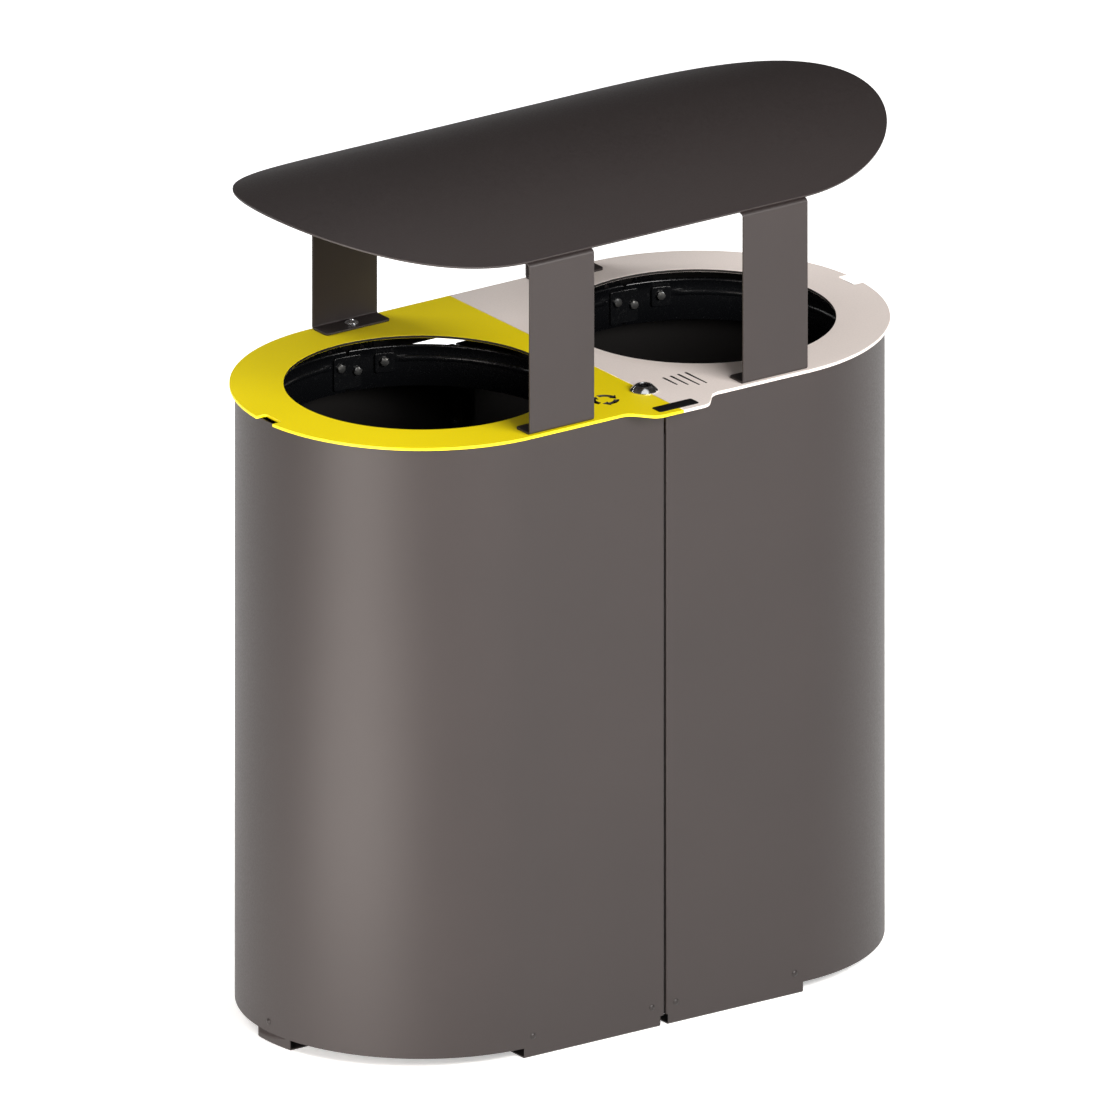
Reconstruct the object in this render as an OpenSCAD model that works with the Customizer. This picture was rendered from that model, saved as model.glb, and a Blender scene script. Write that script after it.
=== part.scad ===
/* [Body] */
// Half the distance between the centres of the two round ends
end_x = 215; // [205:1:240]
// Outer radius of the shell's round ends, which is half its depth
shell_r = 238; // [234:1:250]
// Sheet thickness of the two shells
shell_t = 2; // [1.5:0.1:3]
// Height of the lid's underside above the ground
lid_z = 841; // [780:1:900]
// Open gap between the shell's top edge and the lid
lid_gap = 0.5; // [0.4:0.1:1]
// Height of the shell's lower edge above the ground
skirt_z = 14; // [10:1:24]
// Open joint between the two shells
seam_gap = 3; // [2:0.1:5]
// Sideways offset of each joint, because the two shells are one pattern turned half round
seam_shift = 2; // [0:0.5:3]
// Depth of the return flange that stiffens each shell at its joints
seam_flange = 20; // [16:1:22]

/* [Feet] */
// Width of the four long feet
foot_w = 211; // [180:1:215]
// Distance from the middle to a front left foot
foot_inset = 10; // [8:1:14]
// Distance from the middle to a front right foot
foot_inset_short = 1; // [0:1:6]
// Depth of the flange that each foot turns inward on the ground
foot_depth = 32; // [26:1:40]
// Width of the foot on each round end
end_foot_w = 67; // [50:1:90]
// Sideways offset of the foot on each round end
end_foot_y = 8.5; // [0:0.5:20]
// Half the distance between the ground bolts along the front
anchor_x = 150; // [120:1:180]
// Radius of the ground bolt holes
anchor_r = 5.5; // [4:0.5:7]

/* [Lid] */
// Plate thickness of the two coloured lids
lid_t = 4; // [3:0.1:5]
// How far the lid reaches past the shell
lid_over = 7; // [6:0.5:8]
// Radius of each waste opening
mouth_r = 176; // [150:1:180]
// Butt joint between the two lids
lid_joint = 0.2; // [0.1:0.1:0.6]
// How far the lifting lip stands out from the lid's front edge
lip_reach = 31; // [24:1:36]
// Half the width of the lip's straight front edge
lip_half = 30; // [26:1:38]
// Radius of the lip's corners and of the hollows beside them
lip_r = 21; // [16:1:24]
// Slope of the lip's sides
lip_angle = 50; // [42:1:54]
// Width of the notch in the rim at each round end
notch_w = 35; // [20:1:50]
// Depth of that notch
notch_d = 15; // [10:1:20]

/* [Canopy and stanchions] */
// Height of the canopy's crown above the underside of the lids
crown_rise = 282; // [230:1:340]
// Radius to which the canopy sheet is rolled
roll_r = 680; // [600:5:900]
// Sheet thickness of the canopy
canopy_t = 3; // [2:0.1:4]
// How far the flat blank stays inside the lid's straight edge
blank_in = 1; // [-6:0.5:1]
// How much nearer to the middle the centres of its round ends are
blank_short = 3; // [-10:1:8]
// Width of the four stanchions
post_w = 100; // [80:1:110]
// Plate thickness of the stanchions
post_t = 3; // [2.5:0.1:4]
// Distance from the middle to a stanchion's inner edge
post_x = 116; // [105:1:130]
// Distance from the lid's straight edge to a stanchion's outer face
post_inset = 2.5; // [1:0.5:4]
// Depth of the foot flange of a stanchion
post_foot = 33; // [30:1:36]
// Length of the top flange, measured along the canopy's underside
post_head = 34; // [30:1:44]
// Outer bend radius of the stanchions
post_bend = 5; // [4.5:0.5:8]

/* [Lock and hinges] */
// Distance from the lid's straight front edge back to the lock
lock_in = 58; // [56:1:61]
// Base radius of the conical lock rosette
rosette_r = 18; // [15:0.5:20]
// Top radius of the rosette
rosette_top_r = 11; // [10.5:0.5:13]
// Height of the rosette
rosette_h = 7.5; // [6:0.5:10]
// Radius of the lock's turning core
core_r = 8; // [7:0.5:8.5]
// Length of the locking cam from the core's axis
cam_len = 26; // [22:1:27]
// Distance of each hinge from the middle
hinge_x = 95; // [70:1:97]
// Width of each hinge
hinge_w = 62; // [50:1:64]
// Radius of the hinge pins
pin_r = 2.5; // [2:0.1:3]
// Running clearance round the pins and round the lock's core
run_fit = 0.05; // [0.02:0.01:0.1]

/* [Bag rings] */
// Open space between each bag ring and the shell around it
ring_gap = 37; // [32:1:44]
// Wall thickness of the rings
ring_t = 2; // [1.5:0.1:3]
// Height of the rings
ring_h = 56; // [54:1:70]
// Distance from the lid's top down to a ring's top edge
ring_drop = 20; // [17:1:24]

/* [Rear slot] */
// Width of the slot across the rear joint
slot_w = 160; // [100:1:180]
// Height of the slot
slot_h = 13; // [8:1:20]
// Distance from the lid's top down to the slot's top edge
slot_drop = 50; // [49:1:70]

/* [Hidden] */
$fn = 96;
// Number of sides of a full circle at the canopy's radius, and along each end of its outline
roll_fn = 240;
end_fn = 40;
// One overrun that all cuts share, and the clearance between seated curved faces
overrun = 1;
seat = 0.05;
// Shell and lid
shell_in = shell_r - shell_t;
shell_top = lid_z - lid_gap;
lid_r = shell_r + lid_over;
lid_top = lid_z + lid_t;
crown_z = lid_z + crown_rise;
blank_r = lid_r - blank_in;
blank_x = end_x - blank_short;
lock_y = lid_r - lock_in;
reach = end_x + lid_r + lip_reach;
front_edge = -seam_shift - seam_gap / 2;
rear_edge = seam_shift - seam_gap / 2;
flange_end = shell_r - shell_t / 2 - seam_flange;
notch_corner = 4;
// Base pan
pan_t = 2;
pan_rise = 2;
pan_z = skirt_z + pan_rise;
pan_rim = 28;
pan_fit = 0.3;
pan_relief = 12;
pan_floor = pan_z + pan_t;
drain_r = 6;
drain_x = 220;
drain_y = 110;
// Rivets of the shells, hinges and brackets
rivet_r = 2;
rivet_head_r = 4.5;
rivet_head_h = 1.8;
rivet_set_r = 3.5;
rivet_rise = 14;
rivet_z = skirt_z + rivet_rise;
rivet_edge = 13;
// Rear slot
slot_top = lid_top - slot_drop;
// Seam bars and their bolts
bar_fit = 0.2;
bar_t = seam_gap - 2 * bar_fit;
bar_d = 40;
bar_back = 4;
bar_clear = 12;
bar_drop = 40;
front_bar_top = shell_top - bar_drop;
rear_bar_top = slot_top - slot_h - bar_clear;
bolt_r = 3;
bolt_hole_r = 3.3;
bolt_end = 2;
hex_r = 5.8;
hex_h = 4;
seam_bolt_y = shell_r - shell_t / 2 - seam_flange / 2;
seam_grip = seam_gap + 2 * shell_t;
// Shares of the rear bar's height at which bolts go through both bars
bolt_shares = [0.12, 0.5, 0.88];
bolt_levels = [for (q = bolt_shares) pan_floor + q * (rear_bar_top - pan_floor)];
// Lock housing, nut, core and cam
barrel_r = 11;
barrel_len = 30;
barrel_fit = 0.2;
barrel_end = lid_top - barrel_len;
lock_nut_r = 16;
lock_nut_h = 5;
core_head = 1.2;
core_head_h = 3;
core_sink = 0.6;
core_gap = 0.1;
core_top = lid_top + rosette_h - core_sink;
socket_r = 6;
socket_d = 7;
peg_r = 4;
cam_t = 3;
cam_w = 14;
cam_drop = 0.5;
cam_top = barrel_end - cam_drop;
cam_end_r = 4;
shank_w = 8;
shank_fit = 0.1;
screw_r = 2.5;
screw_head_r = 6;
screw_head_h = 2.5;
screw_len = 9;
// Keeper that the cam turns under
keeper_t = 3;
keeper_gap = 3;
keeper_d = 14;
keeper_side = 14;
keeper_lip = 24;
keeper_leg = 30;
keeper_play = 1;
keeper_y = lock_y + barrel_r + keeper_play;
keeper_top = cam_top + keeper_gap + keeper_t;
keeper_bolt_z = front_bar_top - keeper_leg / 2;
bar_left = front_edge + bar_fit;
// Strap that joins the two lids from below, and its welded studs
strap_w = 60;
strap_t = 3;
strap_gap = 4;
strap_end = flange_end - strap_gap;
stud_r = 3;
stud_x = 20;
stud_len = strap_t + hex_h + bolt_end;
// Shares of the strap's half length at which studs go through it
stud_shares = [-0.55, 0.1, 0.85];
// Hinge leaves, knuckles and their fixings
leaf_t = 2.5;
knuckle_r = 5;
knuckle_gap = 0.4;
hinge_out = 3.5;
hinge_y = shell_r + hinge_out;
hinge_z = shell_top - knuckle_r;
lid_leaf_in = 38;
lid_leaf_out = 8.5;
body_leaf_h = 33;
knuckle_w = (hinge_w - 2 * knuckle_gap) / 3;
hinge_fix_x = 18;
hinge_stud_in = 24;
hinge_stud_y = hinge_y - hinge_stud_in;
hinge_rivet_drop = 18;
hinge_rivet_z = hinge_z - knuckle_r - hinge_rivet_drop;
hinge_stud_len = leaf_t + hex_h + bolt_end;
// Stanchion: foot, seat under the canopy, and the bend that joins web and top flange
post_mid = post_x + post_w / 2;
post_y = lid_r - post_inset;
roll_z = crown_z - roll_r;
under_r = roll_r - canopy_t;
head_r = under_r - seat;
bend_y = post_y - post_bend;
bend_proud = 0.02;
bend_far = head_r - post_bend + bend_proud;
bend_z = roll_z + sqrt(pow(bend_far, 2) - pow(bend_y, 2));
bend_a = asin(bend_y / bend_far);
head_a = bend_a - post_head / head_r * 180 / PI;
head_open = 2;
foot_corner = 5;
foot_screw_in = 17.5;
foot_screw_y = post_y - foot_screw_in;
foot_screw_r = 4;
foot_hole_r = 4.3;
foot_hex_r = 7.5;
foot_hex_h = 6.5;
washer_r = 9;
washer_h = 1.5;
dome_r = 7;
dome_h = 4;
// Welded studs under the canopy, on the middle line of each top flange
head_stud_a = (bend_a + head_a) / 2;
head_stud_x = 30;
head_stud_len = seat + post_t + hex_h + bolt_end + seat;
// Nameplate on the lip
plate_w = 61;
plate_d = 19.5;
plate_t = 1;
plate_corner = 3;
plate_edge = 19;
// Bag ring: bead, groove and rolled top edge
ring_out = shell_in - ring_gap;
ring_r = ring_out - ring_t;
ring_top = lid_top - ring_drop;
ring_z = ring_top - ring_h;
bead_drop = 18.5;
bead_z = ring_top - bead_drop;
bead_r = 5;
groove_r = 3;
bead_out = 0.5;
strap_ring_r = 2.8;
roll_edge_r = 2.2;
// Ring brackets: thickness and seats, then a wide bracket and a small clip
bracket_t = 3;
bracket_seat = 0.1;
bracket_x = 20;
bracket_w = 40;
bracket_h = 44;
bracket_drop = 7;
bracket_rivet_in = 7.5;
clip_x = 70;
clip_w = 24;
clip_h = 26;
clip_drop = 9;
bracket_places = [[bracket_x, bracket_w, bracket_h, bracket_drop], [clip_x, clip_w, clip_h, clip_drop]];
// Bolts through ring and brackets: sideways place and drop below the ring's top
bolt_left_x = 10;
bolt_left_drop = 21;
bolt_right_x = 34;
bolt_right_drop = 28;
clip_bolt_drop = 20;
ring_bolt_places = [[bolt_left_x, bolt_left_drop], [bolt_right_x, bolt_right_drop],
    [clip_x, clip_bolt_drop]];
ring_split_x = (bolt_left_x + bolt_right_x) / 2;
ring_split = 5;
bare_margin = 3;
bare_from = asin((bracket_x - bracket_w / 2 - bare_margin) / ring_r);
bare_to = asin((clip_x + clip_w / 2 + bare_margin) / ring_r);
// Four cut slots beside the lock
ray_x = 47;
ray_step = 11.5;
ray_head_r = 1.5;
ray_tail_r = 0.8;
ray_in = 83;
ray_start = lid_r - ray_in;
ray_len = 48;
// Shares of the longest slot's length
ray_shares = [0.66, 0.83, 1, 1];
// Three chasing arrows cut through the left lid
arrow_x = 61;
arrow_y = lock_y;
arrow_r = 15;
arrow_w = 6.5;
arrow_head = 13;
arrow_angle = 72;
tip_angle = 33;

// A slot shape: two round ends of radius r whose centres lie x to each side
module stadium(r, x) {
    square([2 * x, 2 * r], center = true);
    for (s = [-1, 1])
        translate([s * x, 0])
            circle(r = r);
}

// The part of a ring between two angles, measured from +Y towards +X
module ring_arc(inner, outer, from, to, sides = $fn) {
    far = 2 * outer;
    mid = (from + to) / 2;
    intersection() {
        difference() {
            circle(r = outer, $fn = sides);
            circle(r = inner, $fn = sides);
        }
        polygon([[0, 0], [far * sin(from), far * cos(from)], [far * sin(mid), far * cos(mid)],
            [far * sin(to), far * cos(to)]]);
    }
}

module rounded_plate(w, d, r) {
    square([w - 2 * r, d], center = true);
    square([w, d - 2 * r], center = true);
    for (sx = [-1, 1], sy = [-1, 1])
        translate([sx * (w / 2 - r), sy * (d / 2 - r)])
            circle(r = r);
}

// Spherical cap that stands on z = 0
module dome(r, h) {
    ball = (r * r + h * h) / (2 * h);
    rotate_extrude()
        intersection() {
            translate([0, h - ball])
                circle(r = ball);
            square([r, h]);
        }
}

// Hexagon nut with a plain bore, standing on z = 0
module nut(across, h, bore) {
    difference() {
        cylinder(r = across, h = h, $fn = 6);
        translate([0, 0, -overrun])
            cylinder(r = bore + seat, h = h + 2 * overrun);
    }
}

// Rivet along +Z: dome on z = 0, set head behind the sheets that it grips
module rivet(grip) {
    dome(rivet_head_r, rivet_head_h);
    translate([0, 0, -grip - seat])
        cylinder(r = rivet_r, h = grip + 2 * seat);
    translate([0, 0, -grip - seat - rivet_head_h])
        cylinder(r = rivet_set_r, h = rivet_head_h);
}

module rivet_hole(grip) {
    translate([0, 0, -grip - overrun])
        cylinder(r = rivet_r + seat, h = grip + 2 * overrun);
}

// The right shell's own features are those of the left one turned half round
module half_turn(turned) {
    rotate([0, 0, turned ? 180 : 0])
        children();
}

module both_turns() {
    for (turned = [false, true])
        half_turn(turned)
            children();
}

// A place on the shell's outer face, square to it: side is 1 on the rear wall and -1 on the front
module on_wall(x, side, z) {
    bend = sign(x) * asin(max(0, abs(x) - end_x) / shell_r);
    translate([x, side * shell_r * cos(bend), z])
        rotate([-side * 90, 0, -side * bend])
            children();
}

// Rivets that hold one shell to the base pan: four in the long feet and one in the round end
module at_shell_rivets() {
    for (p = [[-foot_inset - foot_w + rivet_edge, -1], [-foot_inset - rivet_edge, -1],
            [-foot_inset_short - foot_w + rivet_edge, 1], [-foot_inset_short - rivet_edge, 1]])
        on_wall(p[0], p[1], rivet_z)
            children();
    translate([-end_x - shell_r, 0, rivet_z])
        rotate([0, -90, 0])
            children();
}

module at_seam_bolts() {
    for (z = bolt_levels)
        translate([-seam_shift, -seam_bolt_y, z])
            rotate([0, 90, 0])
                children();
}

module at_hinge_rivets() {
    for (s = [-1, 1], d = [-1, 1])
        on_wall(s * hinge_x + d * hinge_fix_x, 1, hinge_rivet_z)
            children();
}

// Each bracket is riveted to the wall behind it, square to the wall
module at_bracket_rivets() {
    for (s = [-1, 1], b = bracket_places, d = [-1, 1])
        on_wall(s * end_x + b[0], 1, ring_top - b[3] - b[2] / 2 + d * (b[2] / 2 - bracket_rivet_in))
            children();
}

// Sheet of one shell in plan, with the return flanges at its two joints
module shell_outline() {
    intersection() {
        difference() {
            stadium(shell_r, end_x);
            stadium(shell_in, end_x);
        }
        polygon([[-reach, -reach], [front_edge, -reach], [front_edge, 0], [rear_edge, 0],
            [rear_edge, reach], [-reach, reach]]);
    }
    translate([front_edge - shell_t, -flange_end - seam_flange])
        square([shell_t, seam_flange]);
    translate([rear_edge - shell_t, flange_end])
        square([shell_t, seam_flange]);
}

// Stretches of the wall that run down to the ground as feet
module foot_windows() {
    translate([-foot_inset - foot_w, -shell_r - overrun])
        square([foot_w, shell_t + overrun]);
    translate([-foot_inset_short - foot_w, shell_in])
        square([foot_w, shell_t + overrun]);
    translate([-end_x - shell_r - overrun, -end_foot_y - end_foot_w / 2])
        square([shell_r + overrun, end_foot_w]);
}

// Flanges that the feet turn inward on the ground
module foot_flanges() {
    difference() {
        intersection() {
            stadium(shell_r, end_x);
            union() {
                translate([-foot_inset - foot_w, -shell_r])
                    square([foot_w, foot_depth]);
                translate([-foot_inset_short - foot_w, shell_r - foot_depth])
                    square([foot_w, foot_depth]);
                translate([-end_x - shell_r, -end_foot_y - end_foot_w / 2])
                    square([foot_depth, end_foot_w]);
            }
        }
        for (s = [-1, 1])
            translate([-anchor_x, s * (shell_r - foot_depth / 2)])
                circle(r = anchor_r);
    }
}

module shell_blank() {
    difference() {
        linear_extrude(shell_top)
            shell_outline();
        translate([0, 0, -overrun])
            linear_extrude(skirt_z + overrun)
                difference() {
                    square(4 * reach, center = true);
                    foot_windows();
                }
        at_shell_rivets()
            rivet_hole(shell_t);
        both_turns()
            at_seam_bolts()
                cylinder(r = bolt_hole_r, h = seam_grip + 2 * overrun, center = true);
    }
    linear_extrude(shell_t)
        foot_flanges();
}

// Rear slot, openings for the hinges, and holes for the rivets of hinges and brackets
module rear_cuts() {
    translate([-slot_w / 2, flange_end - overrun, slot_top - slot_h])
        cube([slot_w, seam_flange + 3 * overrun, slot_h]);
    for (s = [-1, 1])
        translate([s * hinge_x - hinge_w / 2 - overrun, shell_in - overrun, hinge_z - knuckle_r - lid_gap])
            cube([hinge_w + 2 * overrun, shell_t + 2 * overrun, 2 * knuckle_r + 2 * lid_gap + overrun]);
    at_hinge_rivets()
        rivet_hole(shell_t);
    at_bracket_rivets()
        rivet_hole(shell_t);
}

module shell(turned) {
    color("#605856")
        difference() {
            half_turn(turned)
                shell_blank();
            rear_cuts();
        }
}

module left_shell() {
    shell(false);
}

module right_shell() {
    shell(true);
}

// Tray that closes the bottom and ties the two shells together
module base_pan() {
    pan_r = shell_in - pan_fit;
    color("#2B2A29")
        difference() {
            translate([0, 0, pan_z])
                linear_extrude(pan_rim)
                    stadium(pan_r, end_x);
            translate([0, 0, pan_floor])
                linear_extrude(pan_rim)
                    stadium(pan_r - pan_t, end_x);
            for (s = [-1, 1])
                translate([-pan_relief, s * shell_r - seam_flange - overrun, pan_z - overrun])
                    cube([2 * pan_relief, 2 * (seam_flange + overrun), pan_rim + 2 * overrun]);
            for (sx = [-1, 0, 1], sy = [-1, 1])
                translate([sx * drain_x, sy * drain_y, pan_z - overrun])
                    cylinder(r = drain_r, h = pan_t + 2 * overrun);
            both_turns()
                at_shell_rivets()
                    rivet_hole(shell_t + pan_fit + pan_t);
        }
}

// Flat bar that stands on the base pan between the return flanges of a joint
module seam_bar(top) {
    color("#262524")
        difference() {
            translate([-seam_shift - bar_t / 2, -shell_r + bar_back, pan_floor])
                cube([bar_t, bar_d, top - pan_floor]);
            at_seam_bolts()
                cylinder(r = bolt_hole_r, h = seam_grip, center = true);
            at_keeper_bolt()
                cylinder(r = bolt_hole_r, h = seam_grip, center = true);
        }
}

module at_keeper_bolt() {
    translate([-seam_shift, -keeper_y - keeper_d / 2, keeper_bolt_z])
        rotate([0, 90, 0])
            children();
}

module front_seam_bar() {
    seam_bar(front_bar_top);
}

module rear_seam_bar() {
    half_turn(true)
        seam_bar(rear_bar_top);
}

// Hexagon screw through a grip centred on z = 0, with its nut on the far side
module through_bolt(before, after) {
    translate([0, 0, -before - hex_h])
        cylinder(r = hex_r, h = hex_h, $fn = 6);
    translate([0, 0, -before])
        cylinder(r = bolt_r, h = before + after + hex_h + bolt_end);
    translate([0, 0, after])
        nut(hex_r, hex_h, bolt_r);
}

module seam_bolts() {
    color("#8F8F90")
        both_turns()
            at_seam_bolts()
                through_bolt(seam_grip / 2, seam_grip / 2);
}

module shell_rivets() {
    color("#605856")
        both_turns()
            at_shell_rivets()
                rivet(shell_t + pan_fit + pan_t);
}

// Folded plate on the front bar whose lip stops the cam when the lock is turned
module keeper() {
    color("#7D7E80")
        difference() {
            translate([0, -keeper_y, 0])
                rotate([90, 0, 0])
                    linear_extrude(keeper_d) {
                        translate([bar_left - keeper_t, front_bar_top - keeper_leg])
                            square([keeper_t, keeper_leg + keeper_t]);
                        translate([-keeper_side, front_bar_top])
                            square([keeper_side + bar_left, keeper_t]);
                        translate([-keeper_side, front_bar_top])
                            square([keeper_t, keeper_top - front_bar_top]);
                        translate([-keeper_side, keeper_top - keeper_t])
                            square([keeper_lip, keeper_t]);
                    }
            at_keeper_bolt()
                cylinder(r = bolt_hole_r, h = 4 * keeper_side, center = true);
        }
}

module keeper_bolt() {
    color("#8F8F90")
        at_keeper_bolt()
            through_bolt(bar_t / 2 + keeper_t, bar_t / 2);
}

// Section of a ring's wall: band, rolled top edge
module ring_band() {
    translate([ring_r, ring_z])
        square([ring_t, ring_h - roll_edge_r]);
    translate([ring_r + ring_t / 2, ring_top - roll_edge_r])
        circle(r = roll_edge_r);
}

module ring_bead() {
    difference() {
        intersection() {
            translate([ring_out + bead_out, bead_z])
                circle(r = bead_r);
            translate([0, ring_z])
                square([ring_out - seat, ring_h]);
        }
        translate([ring_out + bead_out, bead_z])
            circle(r = groove_r);
    }
}

module groove() {
    translate([ring_out + bead_out, bead_z])
        circle(r = groove_r);
}

// Turns a section round a ring, leaving out the stretch where the brackets sit
module round_ring() {
    rotate([0, 0, 90 - bare_from])
        rotate_extrude(angle = 360 - bare_to + bare_from)
            children();
}

module at_ring_bolts() {
    for (p = ring_bolt_places)
        rotate([0, 0, -asin(p[0] / ring_r)])
            translate([0, ring_r, ring_top - p[1]])
                rotate([-90, 0, 0])
                    children();
}

module bag_ring(side) {
    color("#17181A")
        translate([side * end_x, 0, 0])
            difference() {
                union() {
                    rotate_extrude()
                        ring_band();
                    round_ring()
                        ring_bead();
                }
                round_ring()
                    groove();
                rotate([0, 0, -asin(ring_split_x / ring_r)])
                    translate([-ring_split / 2, ring_r - 2 * bead_r, ring_z - overrun])
                        cube([ring_split, 4 * bead_r, ring_h + 2 * overrun]);
                at_ring_bolts()
                    cylinder(r = bolt_hole_r, h = 4 * ring_t, center = true);
            }
}

module left_bag_ring() {
    bag_ring(-1);
}

module right_bag_ring() {
    bag_ring(1);
}

// Elastic ring that holds a bag's rim in the groove
module bag_strap(side) {
    color("#1F1F20")
        translate([side * end_x, 0, 0])
            round_ring()
                translate([ring_out + bead_out, bead_z])
                    circle(r = strap_ring_r);
}

module left_bag_strap() {
    bag_strap(-1);
}

module right_bag_strap() {
    bag_strap(1);
}

// Band between two radii of a ring, over the width of one bracket
module bracket_band(b, inner, outer) {
    intersection() {
        difference() {
            circle(r = outer);
            circle(r = inner);
        }
        translate([b[0] - b[1] / 2, 0])
            square([b[1], reach]);
    }
}

// Plan of what lies between a ring and the rear wall, as far as a bracket's width
module bracket_field(side, b, inner, wall) {
    intersection() {
        difference() {
            translate([-side * end_x, 0])
                stadium(wall, end_x);
            inner_shape(side, inner, wall);
        }
        translate([b[0] - b[1] / 2, 0])
            square([b[1], reach]);
    }
}

module inner_shape(side, inner, wall) {
    if (inner < wall - bracket_t)
        circle(r = inner);
    else
        translate([-side * end_x, 0])
            stadium(inner, end_x);
}

// Each bracket has a flange on the ring, a web, and a flange on the rear wall
module ring_bracket(side, b) {
    low = ring_top - b[3] - b[2];
    wall = shell_in - seat;
    translate([0, 0, low])
        linear_extrude(b[2]) {
            bracket_band(b, ring_out + bracket_seat, ring_out + bracket_seat + bracket_t);
            bracket_field(side, b, wall - bracket_t, wall);
        }
    translate([0, 0, low])
        linear_extrude(bracket_t)
            bracket_field(side, b, ring_out + bracket_seat + bracket_t / 2, wall);
}

module ring_brackets() {
    color("#232426")
        for (s = [-1, 1])
            difference() {
                translate([s * end_x, 0, 0])
                    difference() {
                        for (b = bracket_places)
                            ring_bracket(s, b);
                        at_ring_bolts()
                            cylinder(r = bolt_hole_r, h = 6 * bracket_t, center = true);
                    }
                at_bracket_rivets()
                    rivet_hole(shell_t + bracket_t);
            }
}

// Curved plates that clamp the ring's ends from inside
module ring_clamp_plates() {
    color("#2A2B2D")
        for (s = [-1, 1])
            translate([s * end_x, 0, 0])
                difference() {
                    for (b = bracket_places)
                        translate([0, 0, ring_top - b[3] - b[2]])
                            linear_extrude(b[2])
                                bracket_band(b, ring_r - bracket_seat - bracket_t, ring_r - bracket_seat);
                    at_ring_bolts()
                        cylinder(r = bolt_hole_r, h = 6 * bracket_t, center = true);
                }
}

module ring_bolts() {
    color("#77787A")
        for (s = [-1, 1])
            translate([s * end_x, 0, 0])
                at_ring_bolts()
                    through_bolt(2 * bracket_seat + bracket_t, ring_t + 2 * bracket_seat + bracket_t);
}

module bracket_rivets() {
    color("#605856")
        at_bracket_rivets()
            rivet(shell_t + bracket_t + seat);
}

module knuckle(w) {
    translate([-w / 2, hinge_y, hinge_z])
        rotate([0, 90, 0])
            cylinder(r = knuckle_r, h = w);
}

module pin_bores() {
    for (s = [-1, 1])
        translate([s * hinge_x - hinge_w, hinge_y, hinge_z])
            rotate([0, 90, 0])
                cylinder(r = pin_r + run_fit, h = 2 * hinge_w);
}

// Leaves inside the rear wall, each with a knuckle at both ends of the pin
module body_hinge_leaves() {
    low = hinge_z - knuckle_r;
    color("#3A3938")
        difference() {
            for (s = [-1, 1])
                translate([s * hinge_x, 0, 0]) {
                    translate([-hinge_w / 2, shell_in - leaf_t, low - body_leaf_h])
                        cube([hinge_w, leaf_t, body_leaf_h]);
                    for (d = [-1, 1])
                        translate([d * (hinge_w - knuckle_w) / 2, 0, 0]) {
                            knuckle(knuckle_w);
                            translate([-knuckle_w / 2, shell_in - leaf_t, low])
                                cube([knuckle_w, hinge_out + shell_t + leaf_t, leaf_t]);
                        }
                }
            pin_bores();
            at_hinge_rivets()
                rivet_hole(shell_t + leaf_t);
        }
}

module hinge_pins() {
    color("#A9AAAC")
        for (s = [-1, 1])
            translate([s * hinge_x - hinge_w / 2 - overrun / 2, hinge_y, hinge_z])
                rotate([0, 90, 0])
                    cylinder(r = pin_r, h = hinge_w + overrun);
}

module hinge_rivets() {
    color("#605856")
        at_hinge_rivets()
            rivet(shell_t + leaf_t);
}

// Outline of one half of the lifting lip, from the middle to its hollow
module half_lip() {
    slant = (lip_reach - 2 * lip_r * (1 - cos(lip_angle))) / sin(lip_angle);
    corner = [lip_half, lid_r + lip_reach - lip_r];
    bend_in = corner + lip_r * [sin(lip_angle), cos(lip_angle)];
    bend_out = bend_in + slant * [cos(lip_angle), -sin(lip_angle)];
    hollow = bend_out + lip_r * [sin(lip_angle), cos(lip_angle)];
    difference() {
        union() {
            polygon([[0, lid_r - lip_r], [hollow[0], lid_r - lip_r], [hollow[0], lid_r], bend_out,
                bend_in, corner, [0, corner[1]]]);
            square([lip_half, lid_r + lip_reach]);
            translate(corner)
                circle(r = lip_r);
        }
        translate(hollow)
            circle(r = lip_r);
    }
}

module lid_outline() {
    stadium(lid_r, end_x);
    rotate(180)
        half_lip();
    mirror([0, 1])
        half_lip();
}

module chasing_arrows() {
    for (k = [0:2])
        rotate(120 * k) {
            ring_arc(arrow_r - arrow_w / 2, arrow_r + arrow_w / 2, 0, arrow_angle);
            polygon([for (p = [[arrow_r - arrow_head / 2, arrow_angle], [arrow_r + arrow_head / 2, arrow_angle],
                    [arrow_r, arrow_angle + tip_angle]]) p[0] * [sin(p[1]), cos(p[1])]]);
        }
}

// Slot that starts round at the origin and narrows towards the front of the lid
module ray(length) {
    polygon([[-ray_head_r, -ray_head_r], [ray_head_r, -ray_head_r], [ray_tail_r, ray_tail_r - length],
        [-ray_tail_r, ray_tail_r - length]]);
    translate([0, -ray_head_r])
        circle(r = ray_head_r);
    translate([0, ray_tail_r - length])
        circle(r = ray_tail_r);
}

// One lid: plate with its waste opening, cut-outs and welded studs
module lid(side) {
    difference() {
        translate([0, 0, lid_z])
            linear_extrude(lid_t)
                difference() {
                    intersection() {
                        lid_outline();
                        translate([side > 0 ? lid_joint / 2 : -reach - lid_joint / 2, -reach])
                            square([reach, 2 * reach]);
                    }
                    translate([side * end_x, 0])
                        circle(r = mouth_r, $fn = roll_fn);
                    translate([side * (end_x + lid_r), 0])
                        rounded_plate(2 * notch_d, notch_w, notch_corner);
                    translate([0, -lock_y])
                        circle(r = barrel_r + barrel_fit);
                    children();
                }
        for (sy = [-1, 1])
            translate([side * post_mid, sy * foot_screw_y, lid_z - overrun])
                cylinder(r = foot_hole_r, h = lid_t + 2 * overrun);
    }
    for (q = stud_shares)
        translate([side * stud_x, q * strap_end, lid_z - stud_len])
            cylinder(r = stud_r, h = stud_len);
    for (d = [-1, 1])
        translate([side * hinge_x + d * hinge_fix_x, hinge_stud_y, lid_z - hinge_stud_len])
            cylinder(r = stud_r, h = hinge_stud_len);
}

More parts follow.
